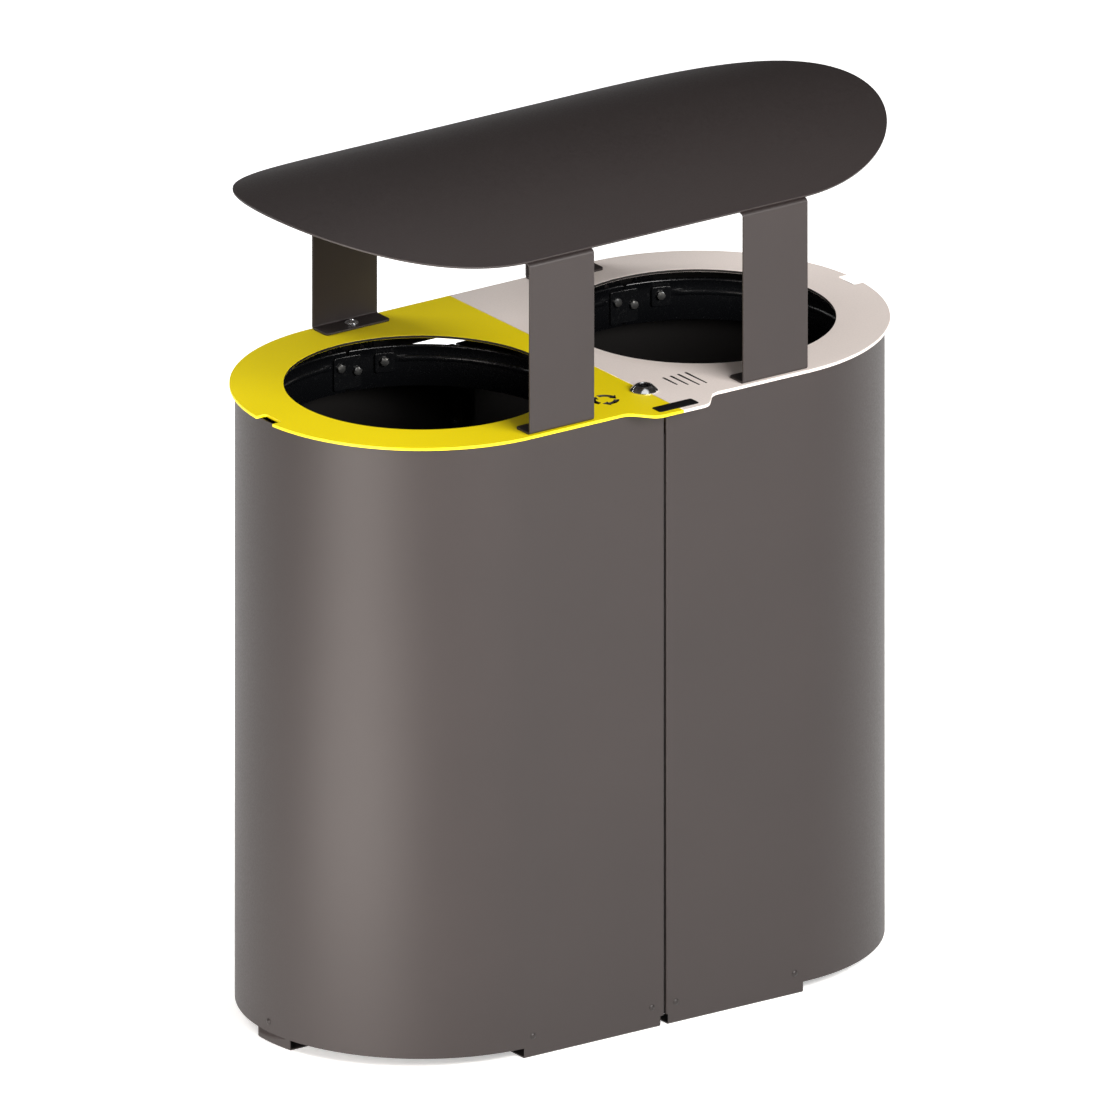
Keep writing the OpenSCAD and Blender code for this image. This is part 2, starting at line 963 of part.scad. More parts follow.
module left_lid() {
    color("#DBC613")
        lid(-1)
            translate([-arrow_x, -arrow_y])
                chasing_arrows();
}

module right_lid() {
    color("#CEC3BD")
        lid(1)
            for (i = [0:len(ray_shares) - 1])
                translate([ray_x + i * ray_step, -ray_start])
                    ray(ray_shares[i] * ray_len);
}

// Plate under the butt joint that carries the lock and holds both lids
module lid_strap() {
    color("#2B2A29")
        translate([0, 0, lid_z - strap_t])
            linear_extrude(strap_t)
                difference() {
                    rounded_plate(strap_w, 2 * strap_end, foot_corner);
                    translate([0, -lock_y])
                        circle(r = barrel_r + barrel_fit);
                    for (s = [-1, 1], q = stud_shares)
                        translate([s * stud_x, q * strap_end])
                            circle(r = bolt_hole_r);
                }
}

module strap_nuts() {
    color("#8F8F90")
        for (s = [-1, 1], q = stud_shares)
            translate([s * stud_x, q * strap_end, lid_z - strap_t - hex_h])
                nut(hex_r, hex_h, stud_r);
}

// Area inside one face of the folded strip, r from the bend centres; its open side reaches on by grow,
// and the rolled top starts at the angle head
module bent_area(r, grow, head) {
    low = lid_top + post_bend;
    tall = bend_z - roll_z - overrun - grow;
    translate([post_y - post_foot - grow, low - r])
        square([post_foot - post_bend + grow, bend_z - low + r]);
    translate([bend_y - overrun, low])
        square([r + overrun, bend_z - low]);
    for (z = [low, bend_z])
        translate([bend_y, z])
            circle(r = r);
    translate([0, roll_z])
        intersection() {
            circle(r = head_r - post_bend + r, $fn = roll_fn);
            polygon([[tall * tan(bend_a), tall], [tall * tan(head), tall], 2 * head_r * [sin(head), cos(head)],
                2 * head_r * [sin(bend_a), cos(bend_a)]]);
        }
}

// Folded strip: foot flange, web, and a top flange rolled to the canopy's underside
module stanchion_profile() {
    difference() {
        bent_area(post_bend, 0, head_a);
        bent_area(post_bend - post_t, overrun, head_a - head_open);
    }
}

module at_head_studs() {
    for (d = [-1, 1])
        translate([d * head_stud_x, 0, roll_z])
            rotate([-head_stud_a, 0, 0])
                translate([0, 0, under_r - seat])
                    children();
}

module at_stanchion(sx, sy) {
    translate([sx * post_mid, 0, 0])
        half_turn(sy < 0)
            children();
}

module at_all_stanchions() {
    for (sx = [-1, 1], sy = [-1, 1])
        at_stanchion(sx, sy)
            children();
}

module stanchion(sx, sy) {
    color("#605856")
        at_stanchion(sx, sy)
            difference() {
                translate([-post_w / 2, 0, 0])
                    rotate([90, 0, 90])
                        linear_extrude(post_w)
                            stanchion_profile();
                for (d = [-1, 1])
                    translate([d * (post_w / 2 - foot_corner), post_y - post_foot + foot_corner,
                            lid_top - overrun])
                        linear_extrude(post_t + 2 * overrun)
                            difference() {
                                translate([d > 0 ? 0 : -2 * foot_corner, -2 * foot_corner])
                                    square(2 * foot_corner);
                                circle(r = foot_corner);
                            }
                translate([0, foot_screw_y, lid_top - overrun])
                    cylinder(r = foot_hole_r, h = post_t + 2 * overrun);
                at_head_studs()
                    cylinder(r = bolt_hole_r, h = 4 * post_t, center = true);
            }
}

module front_left_stanchion() {
    stanchion(-1, -1);
}

module front_right_stanchion() {
    stanchion(1, -1);
}

module rear_left_stanchion() {
    stanchion(-1, 1);
}

module rear_right_stanchion() {
    stanchion(1, 1);
}

module foot_screws() {
    top = lid_top + post_t;
    color("#C9CBCE")
        at_all_stanchions()
            translate([0, foot_screw_y, top]) {
                cylinder(r = washer_r, h = washer_h);
                translate([0, 0, washer_h])
                    dome(dome_r, dome_h);
                translate([0, 0, lid_z - foot_hex_h - bolt_end - top])
                    cylinder(r = foot_screw_r, h = top - lid_z + foot_hex_h + bolt_end);
            }
}

module foot_nuts() {
    color("#8F8F90")
        at_all_stanchions()
            translate([0, foot_screw_y, lid_z - foot_hex_h])
                nut(foot_hex_r, foot_hex_h, foot_screw_r);
}

// Plan of the blank once it is rolled: its sides draw in, its length stays
module canopy_outline() {
    half = [for (i = [0:end_fn]) let (t = 180 * i / end_fn - 90)
        [blank_x + blank_r * cos(t), roll_r * sin(blank_r * sin(t) / roll_r * 180 / PI)]];
    polygon(concat(half, [for (p = half) -p]));
}

module canopy() {
    color("#605856")
        intersection() {
            translate([-reach, 0, roll_z])
                rotate([90, 0, 90])
                    linear_extrude(2 * reach)
                        ring_arc(under_r, roll_r, -bend_a - 5, bend_a + 5, roll_fn);
            linear_extrude(crown_z + overrun)
                canopy_outline();
        }
}

module canopy_studs() {
    color("#8F8F90")
        at_all_stanchions()
            at_head_studs()
                translate([0, 0, -head_stud_len])
                    cylinder(r = stud_r, h = head_stud_len);
}

module canopy_nuts() {
    color("#8F8F90")
        at_all_stanchions()
            at_head_studs()
                translate([0, 0, -post_t - 2 * seat - hex_h])
                    nut(hex_r, hex_h, stud_r);
}

module nameplate() {
    color("#1B1C20")
        translate([0, -lid_r - lip_reach + plate_edge, lid_top])
            linear_extrude(plate_t)
                rounded_plate(plate_w, plate_d, plate_corner);
}

// Conical rosette and threaded barrel in one piece, clamped through the lids
module lock_housing() {
    color("#C9CBCE")
        translate([0, -lock_y, 0])
            difference() {
                union() {
                    translate([0, 0, lid_top])
                        cylinder(r1 = rosette_r, r2 = rosette_top_r, h = rosette_h);
                    translate([0, 0, barrel_end])
                        cylinder(r = barrel_r, h = barrel_len + overrun);
                }
                translate([0, 0, barrel_end - overrun])
                    cylinder(r = core_r + run_fit, h = 2 * barrel_len);
                translate([0, 0, core_top - core_head_h - core_gap])
                    cylinder(r = core_r + core_head + run_fit, h = rosette_h);
            }
}

module lock_nut() {
    color("#8F8F90")
        translate([0, -lock_y, lid_z - strap_t - lock_nut_h])
            nut(lock_nut_r, lock_nut_h, barrel_r);
}

// Turning core: headed cylinder with a three-sided peg in its socket and a square shank
module lock_core() {
    color("#55565A")
        translate([0, -lock_y, 0])
            difference() {
                union() {
                    difference() {
                        translate([0, 0, core_top - core_head_h])
                            cylinder(r = core_r + core_head, h = core_head_h);
                        translate([0, 0, core_top - socket_d])
                            cylinder(r = socket_r, h = socket_d + overrun);
                    }
                    difference() {
                        translate([0, 0, cam_top])
                            cylinder(r = core_r, h = core_top - core_head_h - cam_top);
                        translate([0, 0, core_top - socket_d])
                            cylinder(r = socket_r, h = socket_d + overrun);
                    }
                    translate([0, 0, core_top - socket_d - overrun])
                        cylinder(r = peg_r, h = socket_d, $fn = 3);
                    translate([-shank_w / 2, -shank_w / 2, cam_top - cam_t])
                        cube([shank_w, shank_w, cam_t + overrun]);
                }
                translate([0, 0, cam_top - cam_t - overrun])
                    cylinder(r = screw_r + seat, h = screw_len + 2 * overrun);
            }
}

// Cam on the square shank: at rest it points along +X, clear of the keeper
module lock_cam() {
    color("#7D7E80")
        translate([0, -lock_y, cam_top - cam_t])
            linear_extrude(cam_t)
                difference() {
                    union() {
                        circle(r = core_r + core_head);
                        translate([0, -cam_w / 2])
                            square([cam_len - cam_end_r, cam_w]);
                        translate([0, -cam_w / 2 + cam_end_r])
                            square([cam_len, cam_w - 2 * cam_end_r]);
                        for (s = [-1, 1])
                            translate([cam_len - cam_end_r, s * (cam_w / 2 - cam_end_r)])
                                circle(r = cam_end_r);
                    }
                    square(shank_w + 2 * shank_fit, center = true);
                }
}

module cam_screw() {
    color("#8F8F90")
        translate([0, -lock_y, cam_top - cam_t]) {
            translate([0, 0, -screw_head_h])
                cylinder(r = screw_head_r, h = screw_head_h);
            cylinder(r = screw_r, h = screw_len);
        }
}

// Leaves under the lid, each with one knuckle in the middle of the pin
module lid_hinge_leaves() {
    color("#3A3938")
        difference() {
            for (s = [-1, 1])
                translate([s * hinge_x, 0, 0]) {
                    translate([-hinge_w / 2, hinge_y - lid_leaf_in, lid_z - leaf_t])
                        cube([hinge_w, lid_leaf_in - lid_leaf_out, leaf_t]);
                    translate([-knuckle_w / 2, hinge_y - lid_leaf_out - overrun, lid_z - leaf_t])
                        cube([knuckle_w, lid_leaf_out + overrun, leaf_t]);
                    knuckle(knuckle_w);
                }
            pin_bores();
            for (s = [-1, 1], d = [-1, 1])
                translate([s * hinge_x + d * hinge_fix_x, hinge_stud_y, lid_z - leaf_t - overrun])
                    cylinder(r = bolt_hole_r, h = leaf_t + 2 * overrun);
        }
}

module hinge_nuts() {
    color("#8F8F90")
        for (s = [-1, 1], d = [-1, 1])
            translate([s * hinge_x + d * hinge_fix_x, hinge_stud_y, lid_z - leaf_t - hex_h])
                nut(hex_r, hex_h, stud_r);
}

left_shell();
right_shell();
base_pan();
front_seam_bar();
rear_seam_bar();
seam_bolts();
shell_rivets();
keeper();
keeper_bolt();
left_bag_ring();
right_bag_ring();
left_bag_strap();
right_bag_strap();
ring_brackets();
ring_clamp_plates();
ring_bolts();
bracket_rivets();
body_hinge_leaves();
hinge_pins();
hinge_rivets();
left_lid();
right_lid();
lid_strap();
strap_nuts();
front_left_stanchion();
front_right_stanchion();
rear_left_stanchion();
rear_right_stanchion();
foot_screws();
foot_nuts();
canopy();
canopy_studs();
canopy_nuts();
nameplate();
lock_housing();
lock_nut();
lid_hinge_leaves();
hinge_nuts();
lock_core();
lock_cam();
cam_screw();
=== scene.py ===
import math

import bmesh
import bpy
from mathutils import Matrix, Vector


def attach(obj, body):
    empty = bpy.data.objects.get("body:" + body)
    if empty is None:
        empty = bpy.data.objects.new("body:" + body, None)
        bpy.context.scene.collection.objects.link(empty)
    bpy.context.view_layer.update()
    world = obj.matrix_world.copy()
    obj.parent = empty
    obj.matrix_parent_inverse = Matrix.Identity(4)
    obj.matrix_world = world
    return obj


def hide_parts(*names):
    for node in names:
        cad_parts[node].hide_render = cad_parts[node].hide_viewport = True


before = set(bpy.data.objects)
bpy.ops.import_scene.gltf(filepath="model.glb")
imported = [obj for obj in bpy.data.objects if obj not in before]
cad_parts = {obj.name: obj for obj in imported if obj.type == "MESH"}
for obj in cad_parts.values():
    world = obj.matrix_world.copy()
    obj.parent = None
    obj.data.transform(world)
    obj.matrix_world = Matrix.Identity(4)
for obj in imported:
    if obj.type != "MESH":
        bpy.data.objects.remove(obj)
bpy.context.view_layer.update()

# SHELLS. The oval body is two half shells of 2 mm steel sheet, cut flat, rolled round the ends and folded inwards at
# the seams, where they are bolted to flat bars. Tabs along the bottom edge are folded in as feet with anchor holes.
# Both are powder coated in a fine-textured warm anthracite before they are put together.
MM = 0.001
SHELL_R = 238.0          # outside of the round ends
SHELL_X = 215.0          # centres of the round ends
SHEET = 2.0
SHELL_TOP = 840.5
SKIRT = 14.0             # lower edge between the feet
BEND = 2.0               # middle radius of every tight fold in the 2 mm sheet
RETURN = 18.0            # flat part of the flanges at the seams
REAR_SEAM = 0.5          # middle of the left shell's rear flange, from the middle of the bin
FRONT_SEAM = 4.5         # and of its front flange: with the right shell, turned half round, both seams gape by 3 mm
FOOT_FLAT = 29.0         # flat part of the feet on the ground
SIDE_FOOT = 209.5        # length of the foot under the rear wall
FRONT_FOOT = (-6.0, 205.0)   # ends of the foot under the front wall, along it
END_FOOT_AT = 92.06      # degrees round the end at which the short foot stands
END_FOOT = 33.6          # half its length
FLARE = 5.1              # and how much it widens on each side
ANCHOR_X = 150.0
ANCHOR_IN = 13.0         # from the fold to the middle of the anchor holes
ANCHOR_R = 5.5
WINDOW_NEAR, WINDOW_FAR = 63.0, 127.0   # the notch in the top edge over each hinge, from the middle
WINDOW_LOW = 830.0
SLOT_END = 80.0          # the slot across the rear seam reaches this far from the middle
SLOT_LOW, SLOT_HIGH = 782.0, 795.0
SHEET_EASE = 0.4         # how far the cut edges are eased
USUAL = {"From Min": 0.3, "From Max": 0.7}   # the range that a noise hardly leaves


def rgb(text):
    """sRGB hex as the linear values that a shader takes."""
    parts = [int(text[i:i + 2], 16) / 255 for i in (1, 3, 5)]
    return tuple(c / 12.92 if c <= 0.04045 else ((c + 0.055) / 1.055) ** 2.4 for c in parts) + (1.0,)


def add(tree, kind, links=None, **settings):
    """Adds one node with its settings. Links sets inputs by name or number, to a value or another node's socket."""
    made = tree.nodes.new(kind)
    for name, value in settings.items():
        setattr(made, name, value)
    for key, value in (links or {}).items():
        if isinstance(value, bpy.types.NodeSocket):
            tree.links.new(value, made.inputs[key])
        else:
            made.inputs[key].default_value = value
    return made


def every(size):
    """Scale of a texture whose pattern repeats about every so many mm."""
    return 1 / (size * MM)


def finish(name, colour, rough, **sockets):
    """A new finish: its material, its tree, its shader with plain values set, and the object's own coordinates."""
    made = bpy.data.materials.new(name)
    made.use_nodes = True
    tree = made.node_tree
    tree.nodes.clear()
    shader = add(tree, "ShaderNodeBsdfPrincipled", {"Base Color": rgb(colour), "Roughness": rough, **sockets})
    add(tree, "ShaderNodeOutputMaterial", {"Surface": shader.outputs[0]})
    place = add(tree, "ShaderNodeTexCoord")
    centred = add(tree, "ShaderNodeMapping", {"Vector": place.outputs["Object"]})
    return made, tree, shader, centred.outputs[0]


def powder_coat(name, colour, rough, fleck, drift, **sockets):
    """Fine-textured powder coat: a dimpled skin, flecks that catch the light, and a slow drift of tone."""
    made, tree, shader, at = finish(name, colour, rough, **sockets)
    # The skin of melted powder breaks up reflections. Its dimples are drawn at 1.5 mm, coarser than real, to show
    skin = add(tree, "ShaderNodeTexNoise", {"Vector": at, "Scale": every(1.5), "Detail": 2.0, "Roughness": 0.6})
    # Single grains, drawn at 0.65 mm, also coarser than real, read as a slight sparkle close to
    grain = add(tree, "ShaderNodeTexVoronoi", {"Vector": at, "Scale": every(0.65)})
    both = add(tree, "ShaderNodeMath", {0: grain.outputs["Distance"], 1: 0.35, 2: skin.outputs["Fac"]},
               operation="MULTIPLY_ADD")
    relief = add(tree, "ShaderNodeBump", {"Strength": 0.35, "Distance": 0.12 * MM, "Height": both.outputs[0]})
    tree.links.new(relief.outputs[0], shader.inputs["Normal"])
    # The coat's thickness drifts over some 200 mm, and flecks of 2.4 mm are a touch lighter or shinier
    slow = add(tree, "ShaderNodeTexNoise", {"Vector": at, "Scale": every(200), "Detail": 3.0, "Roughness": 0.55})
    speck = add(tree, "ShaderNodeTexNoise", {"Vector": at, "Scale": every(2.4), "Detail": 1.0})
    tone = add(tree, "ShaderNodeMapRange",
               {"Value": slow.outputs["Fac"], **USUAL, "To Min": 1 - drift, "To Max": 1 + drift})
    spot = add(tree, "ShaderNodeMapRange",
               {"Value": speck.outputs["Fac"], **USUAL, "To Min": 1 - fleck, "To Max": 1 + fleck})
    level = add(tree, "ShaderNodeMath", {0: tone.outputs[0], 1: spot.outputs[0]}, operation="MULTIPLY")
    shade = add(tree, "ShaderNodeVectorMath", {0: rgb(colour)[:3], 3: level.outputs[0]}, operation="SCALE")
    tree.links.new(shade.outputs[0], shader.inputs["Base Color"])
    gloss = add(tree, "ShaderNodeMapRange",
                {"Value": speck.outputs["Fac"], **USUAL, "To Min": rough - 0.05, "To Max": rough + 0.05})
    tree.links.new(gloss.outputs[0], shader.inputs["Roughness"])
    return made


def arc(x, y, r, start, turn, n):
    """Points along an arc, both ends included, in degrees."""
    angles = [math.radians(start + turn * i / n) for i in range(n + 1)]
    return [(x + r * math.cos(a), y + r * math.sin(a)) for a in angles]


def hole(x, y, r, n=24):
    """Outline of a round hole."""
    return arc(x, y, r, 0, 360, n)[:-1]


def blank(name, loops, thick, ease):
    """A flat cut sheet in mm with eased edges, centred on z = 0. The first loop is its outline, the others holes."""
    curve = bpy.data.curves.new(name, "CURVE")
    curve.dimensions = "2D"
    curve.fill_mode = "BOTH"
    curve.extrude = thick / 2 - ease
    curve.bevel_depth = ease
    curve.bevel_resolution = 1
    curve.offset = -ease
    for loop in loops:
        spline = curve.splines.new("POLY")
        spline.points.add(len(loop) - 1)
        for point, (x, y) in zip(spline.points, loop):
            point.co = (x, y, 0, 1)
        spline.use_cyclic_u = True
    drawn = bpy.data.objects.new(name, curve)
    bpy.context.scene.collection.objects.link(drawn)
    cut = bpy.data.meshes.new_from_object(drawn.evaluated_get(bpy.context.evaluated_depsgraph_get()))
    bpy.data.objects.remove(drawn)
    sheet = bmesh.new()
    sheet.from_mesh(cut)
    bpy.data.meshes.remove(cut)
    bmesh.ops.remove_doubles(sheet, verts=sheet.verts, dist=0.001)
    return sheet


def path(x, y, heading, legs):
    """Middle line of a bent sheet. A leg is its length, the degrees it turns to the left, and how many flats it has.
    Gives the place and heading at a distance along it, and the distances at which the sheet is scored."""
    starts, scores, far, a = [], [], 0.0, math.radians(heading)
    for length, turn, flats in legs:
        t = math.radians(turn)
        starts.append((far, x, y, a, length, t))
        scores += [far + length * i / flats for i in range(flats)]
        r = length / t if t else 0
        x += r * (math.sin(a + t) - math.sin(a)) if t else length * math.cos(a)
        y += r * (math.cos(a) - math.cos(a + t)) if t else length * math.sin(a)
        far, a = far + length, a + t

    def at(d):
        far, x, y, a, length, t = [leg for leg in starts if leg[0] <= d + 1e-4 or leg[0] == 0][-1]
        if not t:
            return x + (d - far) * math.cos(a), y + (d - far) * math.sin(a), a
        r, b = length / t, a + t * (d - far) / length
        return x + r * (math.sin(b) - math.sin(a)), y + r * (math.cos(a) - math.cos(b)), b

    return at, scores[1:]


def score(sheet, axis, places):
    """Cuts the sheet's faces along lines across it, so that it can bend there."""
    for place in places:
        at = (place, 0, 0) if axis == 0 else (0, place, 0)
        way = (1, 0, 0) if axis == 0 else (0, 1, 0)
        everything = sheet.verts[:] + sheet.edges[:] + sheet.faces[:]
        bmesh.ops.bisect_plane(sheet, geom=everything, dist=0.0005, plane_co=at, plane_no=way)


def formed(name, sheet, fold, finish_used):
    """Folds every point of a flat sheet with its normal into the piece. fold gives a point's place and three axes."""
    sheet.normal_update()
    places, normals = [], []
    for v in sheet.verts:
        flats = [f.normal.z for f in v.link_faces if abs(f.normal.z) > 0.999]
        n = Vector((0, 0, math.copysign(1, flats[0]))) if flats else v.normal
        place, along, up, out = fold(*v.co)
        places.append(place)
        normals.append((n.x * Vector(along) + n.y * Vector(up) + n.z * Vector(out)).normalized())
    for v, place in zip(sheet.verts, places):
        v.co = Vector(place) * MM
    made = bpy.data.meshes.new(name)
    sheet.to_mesh(made)
    sheet.free()
    made.shade_smooth()
    made.normals_split_custom_set_from_vertices(normals)
    made.materials.append(finish_used)
    piece = bpy.data.objects.new(name, made)
    bpy.context.scene.collection.objects.link(piece)
    return piece


anthracite = powder_coat("Anthracite powder coat", "#27201F", 0.5, 0.10, 0.05)
# Faces that look inwards get a near-black, duller coat: painted shade for the dark inside of the body, whose real
# coat is the same anthracite
inside = powder_coat("Painted inner shade coat", "#0B0908", 0.7, 0.10, 0.05, **{"Specular IOR Level": 0.2})

WALL = SHELL_R - SHEET / 2
QUARTER = BEND * math.pi / 2                            # length of sheet in a tight right-angled fold
FOOT_Z = BEND + SHEET / 2                               # the feet's fold begins
wall_path, wall_scores = path(-REAR_SEAM, WALL - BEND - RETURN, 90, [
    (RETURN, 0, 1), (QUARTER, 90, 6), (SHELL_X - BEND - REAR_SEAM, 0, 1), (WALL * math.pi, 180, 120),
    (SHELL_X - BEND - FRONT_SEAM, 0, 1), (QUARTER, 90, 6), (RETURN, 0, 1)])
REAR_WALL = RETURN + QUARTER                            # how far along the blank the rear wall begins
ROUND = REAR_WALL + SHELL_X - BEND - REAR_SEAM          # the round end begins
FRONT_WALL = ROUND + WALL * math.pi                     # the front wall begins
WHOLE = FRONT_WALL + SHELL_X - BEND - FRONT_SEAM + QUARTER + RETURN
foot_path, foot_scores = path(0, SHELL_TOP, -90, [
    (SHELL_TOP - FOOT_Z, 0, 1), (QUARTER, -90, 6), (FOOT_FLAT, 0, 1)])
TOE = FOOT_Z - QUARTER - FOOT_FLAT                      # the feet's free edge, as a height on the blank


def rear_at(x):
    """How far along the blank a point of the rear wall lies, x mm from the middle of the bin."""
    return REAR_WALL + (x - REAR_SEAM - BEND)


def front_at(x):
    """The same on the front wall."""
    return FRONT_WALL + (SHELL_X - x)


def shell_fold(flipped):
    """How the blank of a shell is rolled and folded; the right shell is the left one turned half round."""
    def fold(s, h, z):
        out, up, b = foot_path(SHELL_TOP - h)
        out, up = out - math.sin(b) * z, up + math.cos(b) * z
        x, y, a = wall_path(s)
        side = -1 if flipped else 1
        left = (-math.sin(a) * side, math.cos(a) * side, 0)
        place = (side * x - out * left[0], side * y - out * left[1], up)
        down = (-math.cos(b) * -left[0], -math.cos(b) * -left[1], -math.sin(b))
        face = (-math.sin(b) * -left[0], -math.sin(b) * -left[1], math.cos(b))
        return place, (math.cos(a) * side, math.sin(a) * side, 0), down, face
    return fold


def shell(name, flipped):
    """One half shell. Its blank runs along x from the rear seam round the end to the front seam, and up y."""
    end_foot = ROUND + WALL * math.radians(END_FOOT_AT)
    feet = [(REAR_WALL, REAR_WALL + SIDE_FOOT, 0), (end_foot - END_FOOT, end_foot + END_FOOT, FLARE),
            (FRONT_WALL + FRONT_FOOT[0], FRONT_WALL + FRONT_FOOT[1], 0)]
    outline = [(0, SKIRT)]
    for a, b, flare in feet:
        outline += [(a, SKIRT), (a, 0), (a - flare, TOE), (b + flare, TOE), (b, 0), (b, SKIRT)]
    # The flipped shell's front wall is the rear of the bin, where the hinges and the slot are
    if flipped:
        near, far, slot = front_at(WINDOW_FAR), front_at(WINDOW_NEAR), front_at(SLOT_END)
    else:
        near, far, slot = rear_at(WINDOW_NEAR), rear_at(WINDOW_FAR), rear_at(SLOT_END)
    window = [(far, SHELL_TOP), (far, WINDOW_LOW), (near, WINDOW_LOW), (near, SHELL_TOP)]
    if flipped:
        outline += [(WHOLE, SKIRT), (WHOLE, SLOT_LOW), (slot, SLOT_LOW), (slot, SLOT_HIGH), (WHOLE, SLOT_HIGH)]
        outline += [(WHOLE, SHELL_TOP)] + window + [(0, SHELL_TOP)]
    else:
        outline += [(WHOLE, SKIRT), (WHOLE, SHELL_TOP)] + window
        outline += [(0, SHELL_TOP), (0, SLOT_HIGH), (slot, SLOT_HIGH), (slot, SLOT_LOW), (0, SLOT_LOW)]
    anchors = [hole(s, FOOT_Z - QUARTER - ANCHOR_IN, ANCHOR_R) for s in (rear_at(ANCHOR_X), front_at(ANCHOR_X))]
    sheet = blank(name, [outline] + anchors, SHEET, SHEET_EASE)
    score(sheet, 0, wall_scores)
    score(sheet, 1, [SHELL_TOP - d for d in foot_scores])
    piece = formed(name, sheet, shell_fold(flipped), anthracite)
    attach(piece, "body")
    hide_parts("right_shell" if flipped else "left_shell")
    # Faces that look inwards, towards the line between the centres of the ends, get the painted shade coat
    piece.data.materials.append(inside)
    for face in piece.data.polygons:
        middle = max(-SHELL_X, min(SHELL_X, face.center.x / MM)) * MM
        out = Vector((face.center.x - middle, face.center.y, 0))
        if face.normal.dot(out) < -0.5 * out.length:
            face.material_index = 1


shell("left_shell_sheet", False)
shell("right_shell_sheet", True)

# CANOPY. One flat oval blank of 3 mm steel rolled to a single shallow curve over its width, with studs welded
# underneath that the stanchions are bolted to. It has the same anthracite coat, its cut edge eased beforehand.
ROLL_R = 680.0           # outside of the curve
ROLL_Z = 443.0           # its axis, along x
CANOPY = 3.0
CANOPY_X = 212.0         # centres and radius of the flat blank's round ends
CANOPY_R = 244.0
CANOPY_EASE = 0.7
ROLL_STEP = 8            # mm between the scored lines


def canopy_fold(x, w, z):
    a = w / ROLL_R
    r = ROLL_R - CANOPY / 2 + z
    place = (x, r * math.sin(a), ROLL_Z + r * math.cos(a))
    return place, (1, 0, 0), (0, math.cos(a), -math.sin(a)), (0, math.sin(a), math.cos(a))


oval = arc(CANOPY_X, 0, CANOPY_R, -90, 180, 96) + arc(-CANOPY_X, 0, CANOPY_R, 90, 180, 96)
sheet = blank("canopy_sheet", [oval], CANOPY, CANOPY_EASE)
score(sheet, 1, [ROLL_STEP * i for i in range(-30, 31)])
canopy = formed("canopy_sheet", sheet, canopy_fold, anthracite)
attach(canopy, "lid")
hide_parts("canopy")

# STANCHIONS. Four legs of 3 mm flat steel, 100 mm wide, each folded out of one strip: a foot flange that is screwed
# to the lid, a straight web close to the body's face, and a top flange rolled to the canopy's underside.
LID_TOP = 845.0
POST_W = 100.0
POST_T = 3.0
POST_X = 166.0
POST_IN = 209.5          # inner end of the foot flange
FOLD = 3.5               # middle radius of the folds
LOW_FLAT = 28.0          # flat part of the foot flange
TOP_FLAT = 33.9          # rolled part of the top flange
TOP_R = 675.45           # middle radius of that part
FOLD_R = 671.97          # centre of the top fold, from the axis of the canopy's curve
FOLD_Y = 237.5           # and from the middle of the bin
LOW_CORNER, TOP_CORNER = 5.0, 3.0
SCREW_IN = 15.5          # screw hole, from the foot flange's inner end
SCREW_HOLE = 4.3
POST_EASE = 0.5
top_angle = math.asin(FOLD_Y / FOLD_R)
bend_z = ROLL_Z + math.sqrt(FOLD_R ** 2 - FOLD_Y ** 2)
low_z = LID_TOP + POST_T / 2
web = bend_z - (low_z + FOLD)
post_path, post_scores = path(POST_IN, low_z, 0, [
    (LOW_FLAT, 0, 1), (FOLD * math.pi / 2, 90, 8), (web, 0, 1),
    (FOLD * (math.pi / 2 - top_angle), 90 - math.degrees(top_angle), 8),
    (TOP_FLAT, math.degrees(TOP_FLAT / TOP_R), 4)])
post_length = LOW_FLAT + FOLD * math.pi / 2 + web + FOLD * (math.pi / 2 - top_angle) + TOP_FLAT
low_x, top_x, top_y = POST_W / 2 - LOW_CORNER, POST_W / 2 - TOP_CORNER, post_length - TOP_CORNER
strip = arc(low_x, LOW_CORNER, LOW_CORNER, -90, 90, 6) + arc(top_x, top_y, TOP_CORNER, 0, 90, 5)
strip += arc(-top_x, top_y, TOP_CORNER, 90, 90, 5) + arc(-low_x, LOW_CORNER, LOW_CORNER, 180, 90, 6)
for name, sx, sy in (("front_left", -1, -1), ("front_right", 1, -1), ("rear_left", -1, 1), ("rear_right", 1, 1)):
    def post_fold(x, s, z, sx=sx, sy=sy):
        y, up, a = post_path(s)
        place = (sx * POST_X + sy * x, sy * (y - math.sin(a) * z), up + math.cos(a) * z)
        return place, (sy, 0, 0), (0, sy * math.cos(a), math.sin(a)), (0, -sy * math.sin(a), math.cos(a))

    sheet = blank(name, [strip, hole(0, SCREW_IN, SCREW_HOLE)], POST_T, POST_EASE)
    score(sheet, 1, post_scores)
    post = formed(name + "_stanchion_strip", sheet, post_fold, anthracite)
    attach(post, "lid")
    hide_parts(name + "_stanchion")

# LIDS. Two 4 mm steel plates that meet on the middle line, one yellow and one pale grey, laser cut with a mouth, a
# finger notch at the end, a lip under the nameplate and a motif, with studs welded below for the strap and hinge.
# The walls of the mouths and motifs, and the studs, get a dark brown finish that is painted shade, for the shade in
# the cuts and under the plate.
LID_R = 245.0
LID_X = 215.0
LID_T = 4.0
LID_MID = LID_TOP - LID_T / 2
LID_EASE = 0.45
JOINT = 0.1              # half the gap between the two plates
MOUTH_R = 176.0
LIP_OUT = 276.0          # front edge of the lip
LIP_HALF = 30.0          # half its straight part
LIP_R = 21.0             # radius of its outline's bends
LIP_TURN = 50            # degrees of each bend
NOTCH_X = 449.0          # centres and radius of the finger notch's rounded corners
NOTCH_Y = 13.5
NOTCH_R = 4.0
LOCK_Y = -187.0
LOCK_HOLE = 11.2
STUD_R = 3.0
STRAP_Y = 213.0          # half the length of the strap that joins the plates, which its studs share out
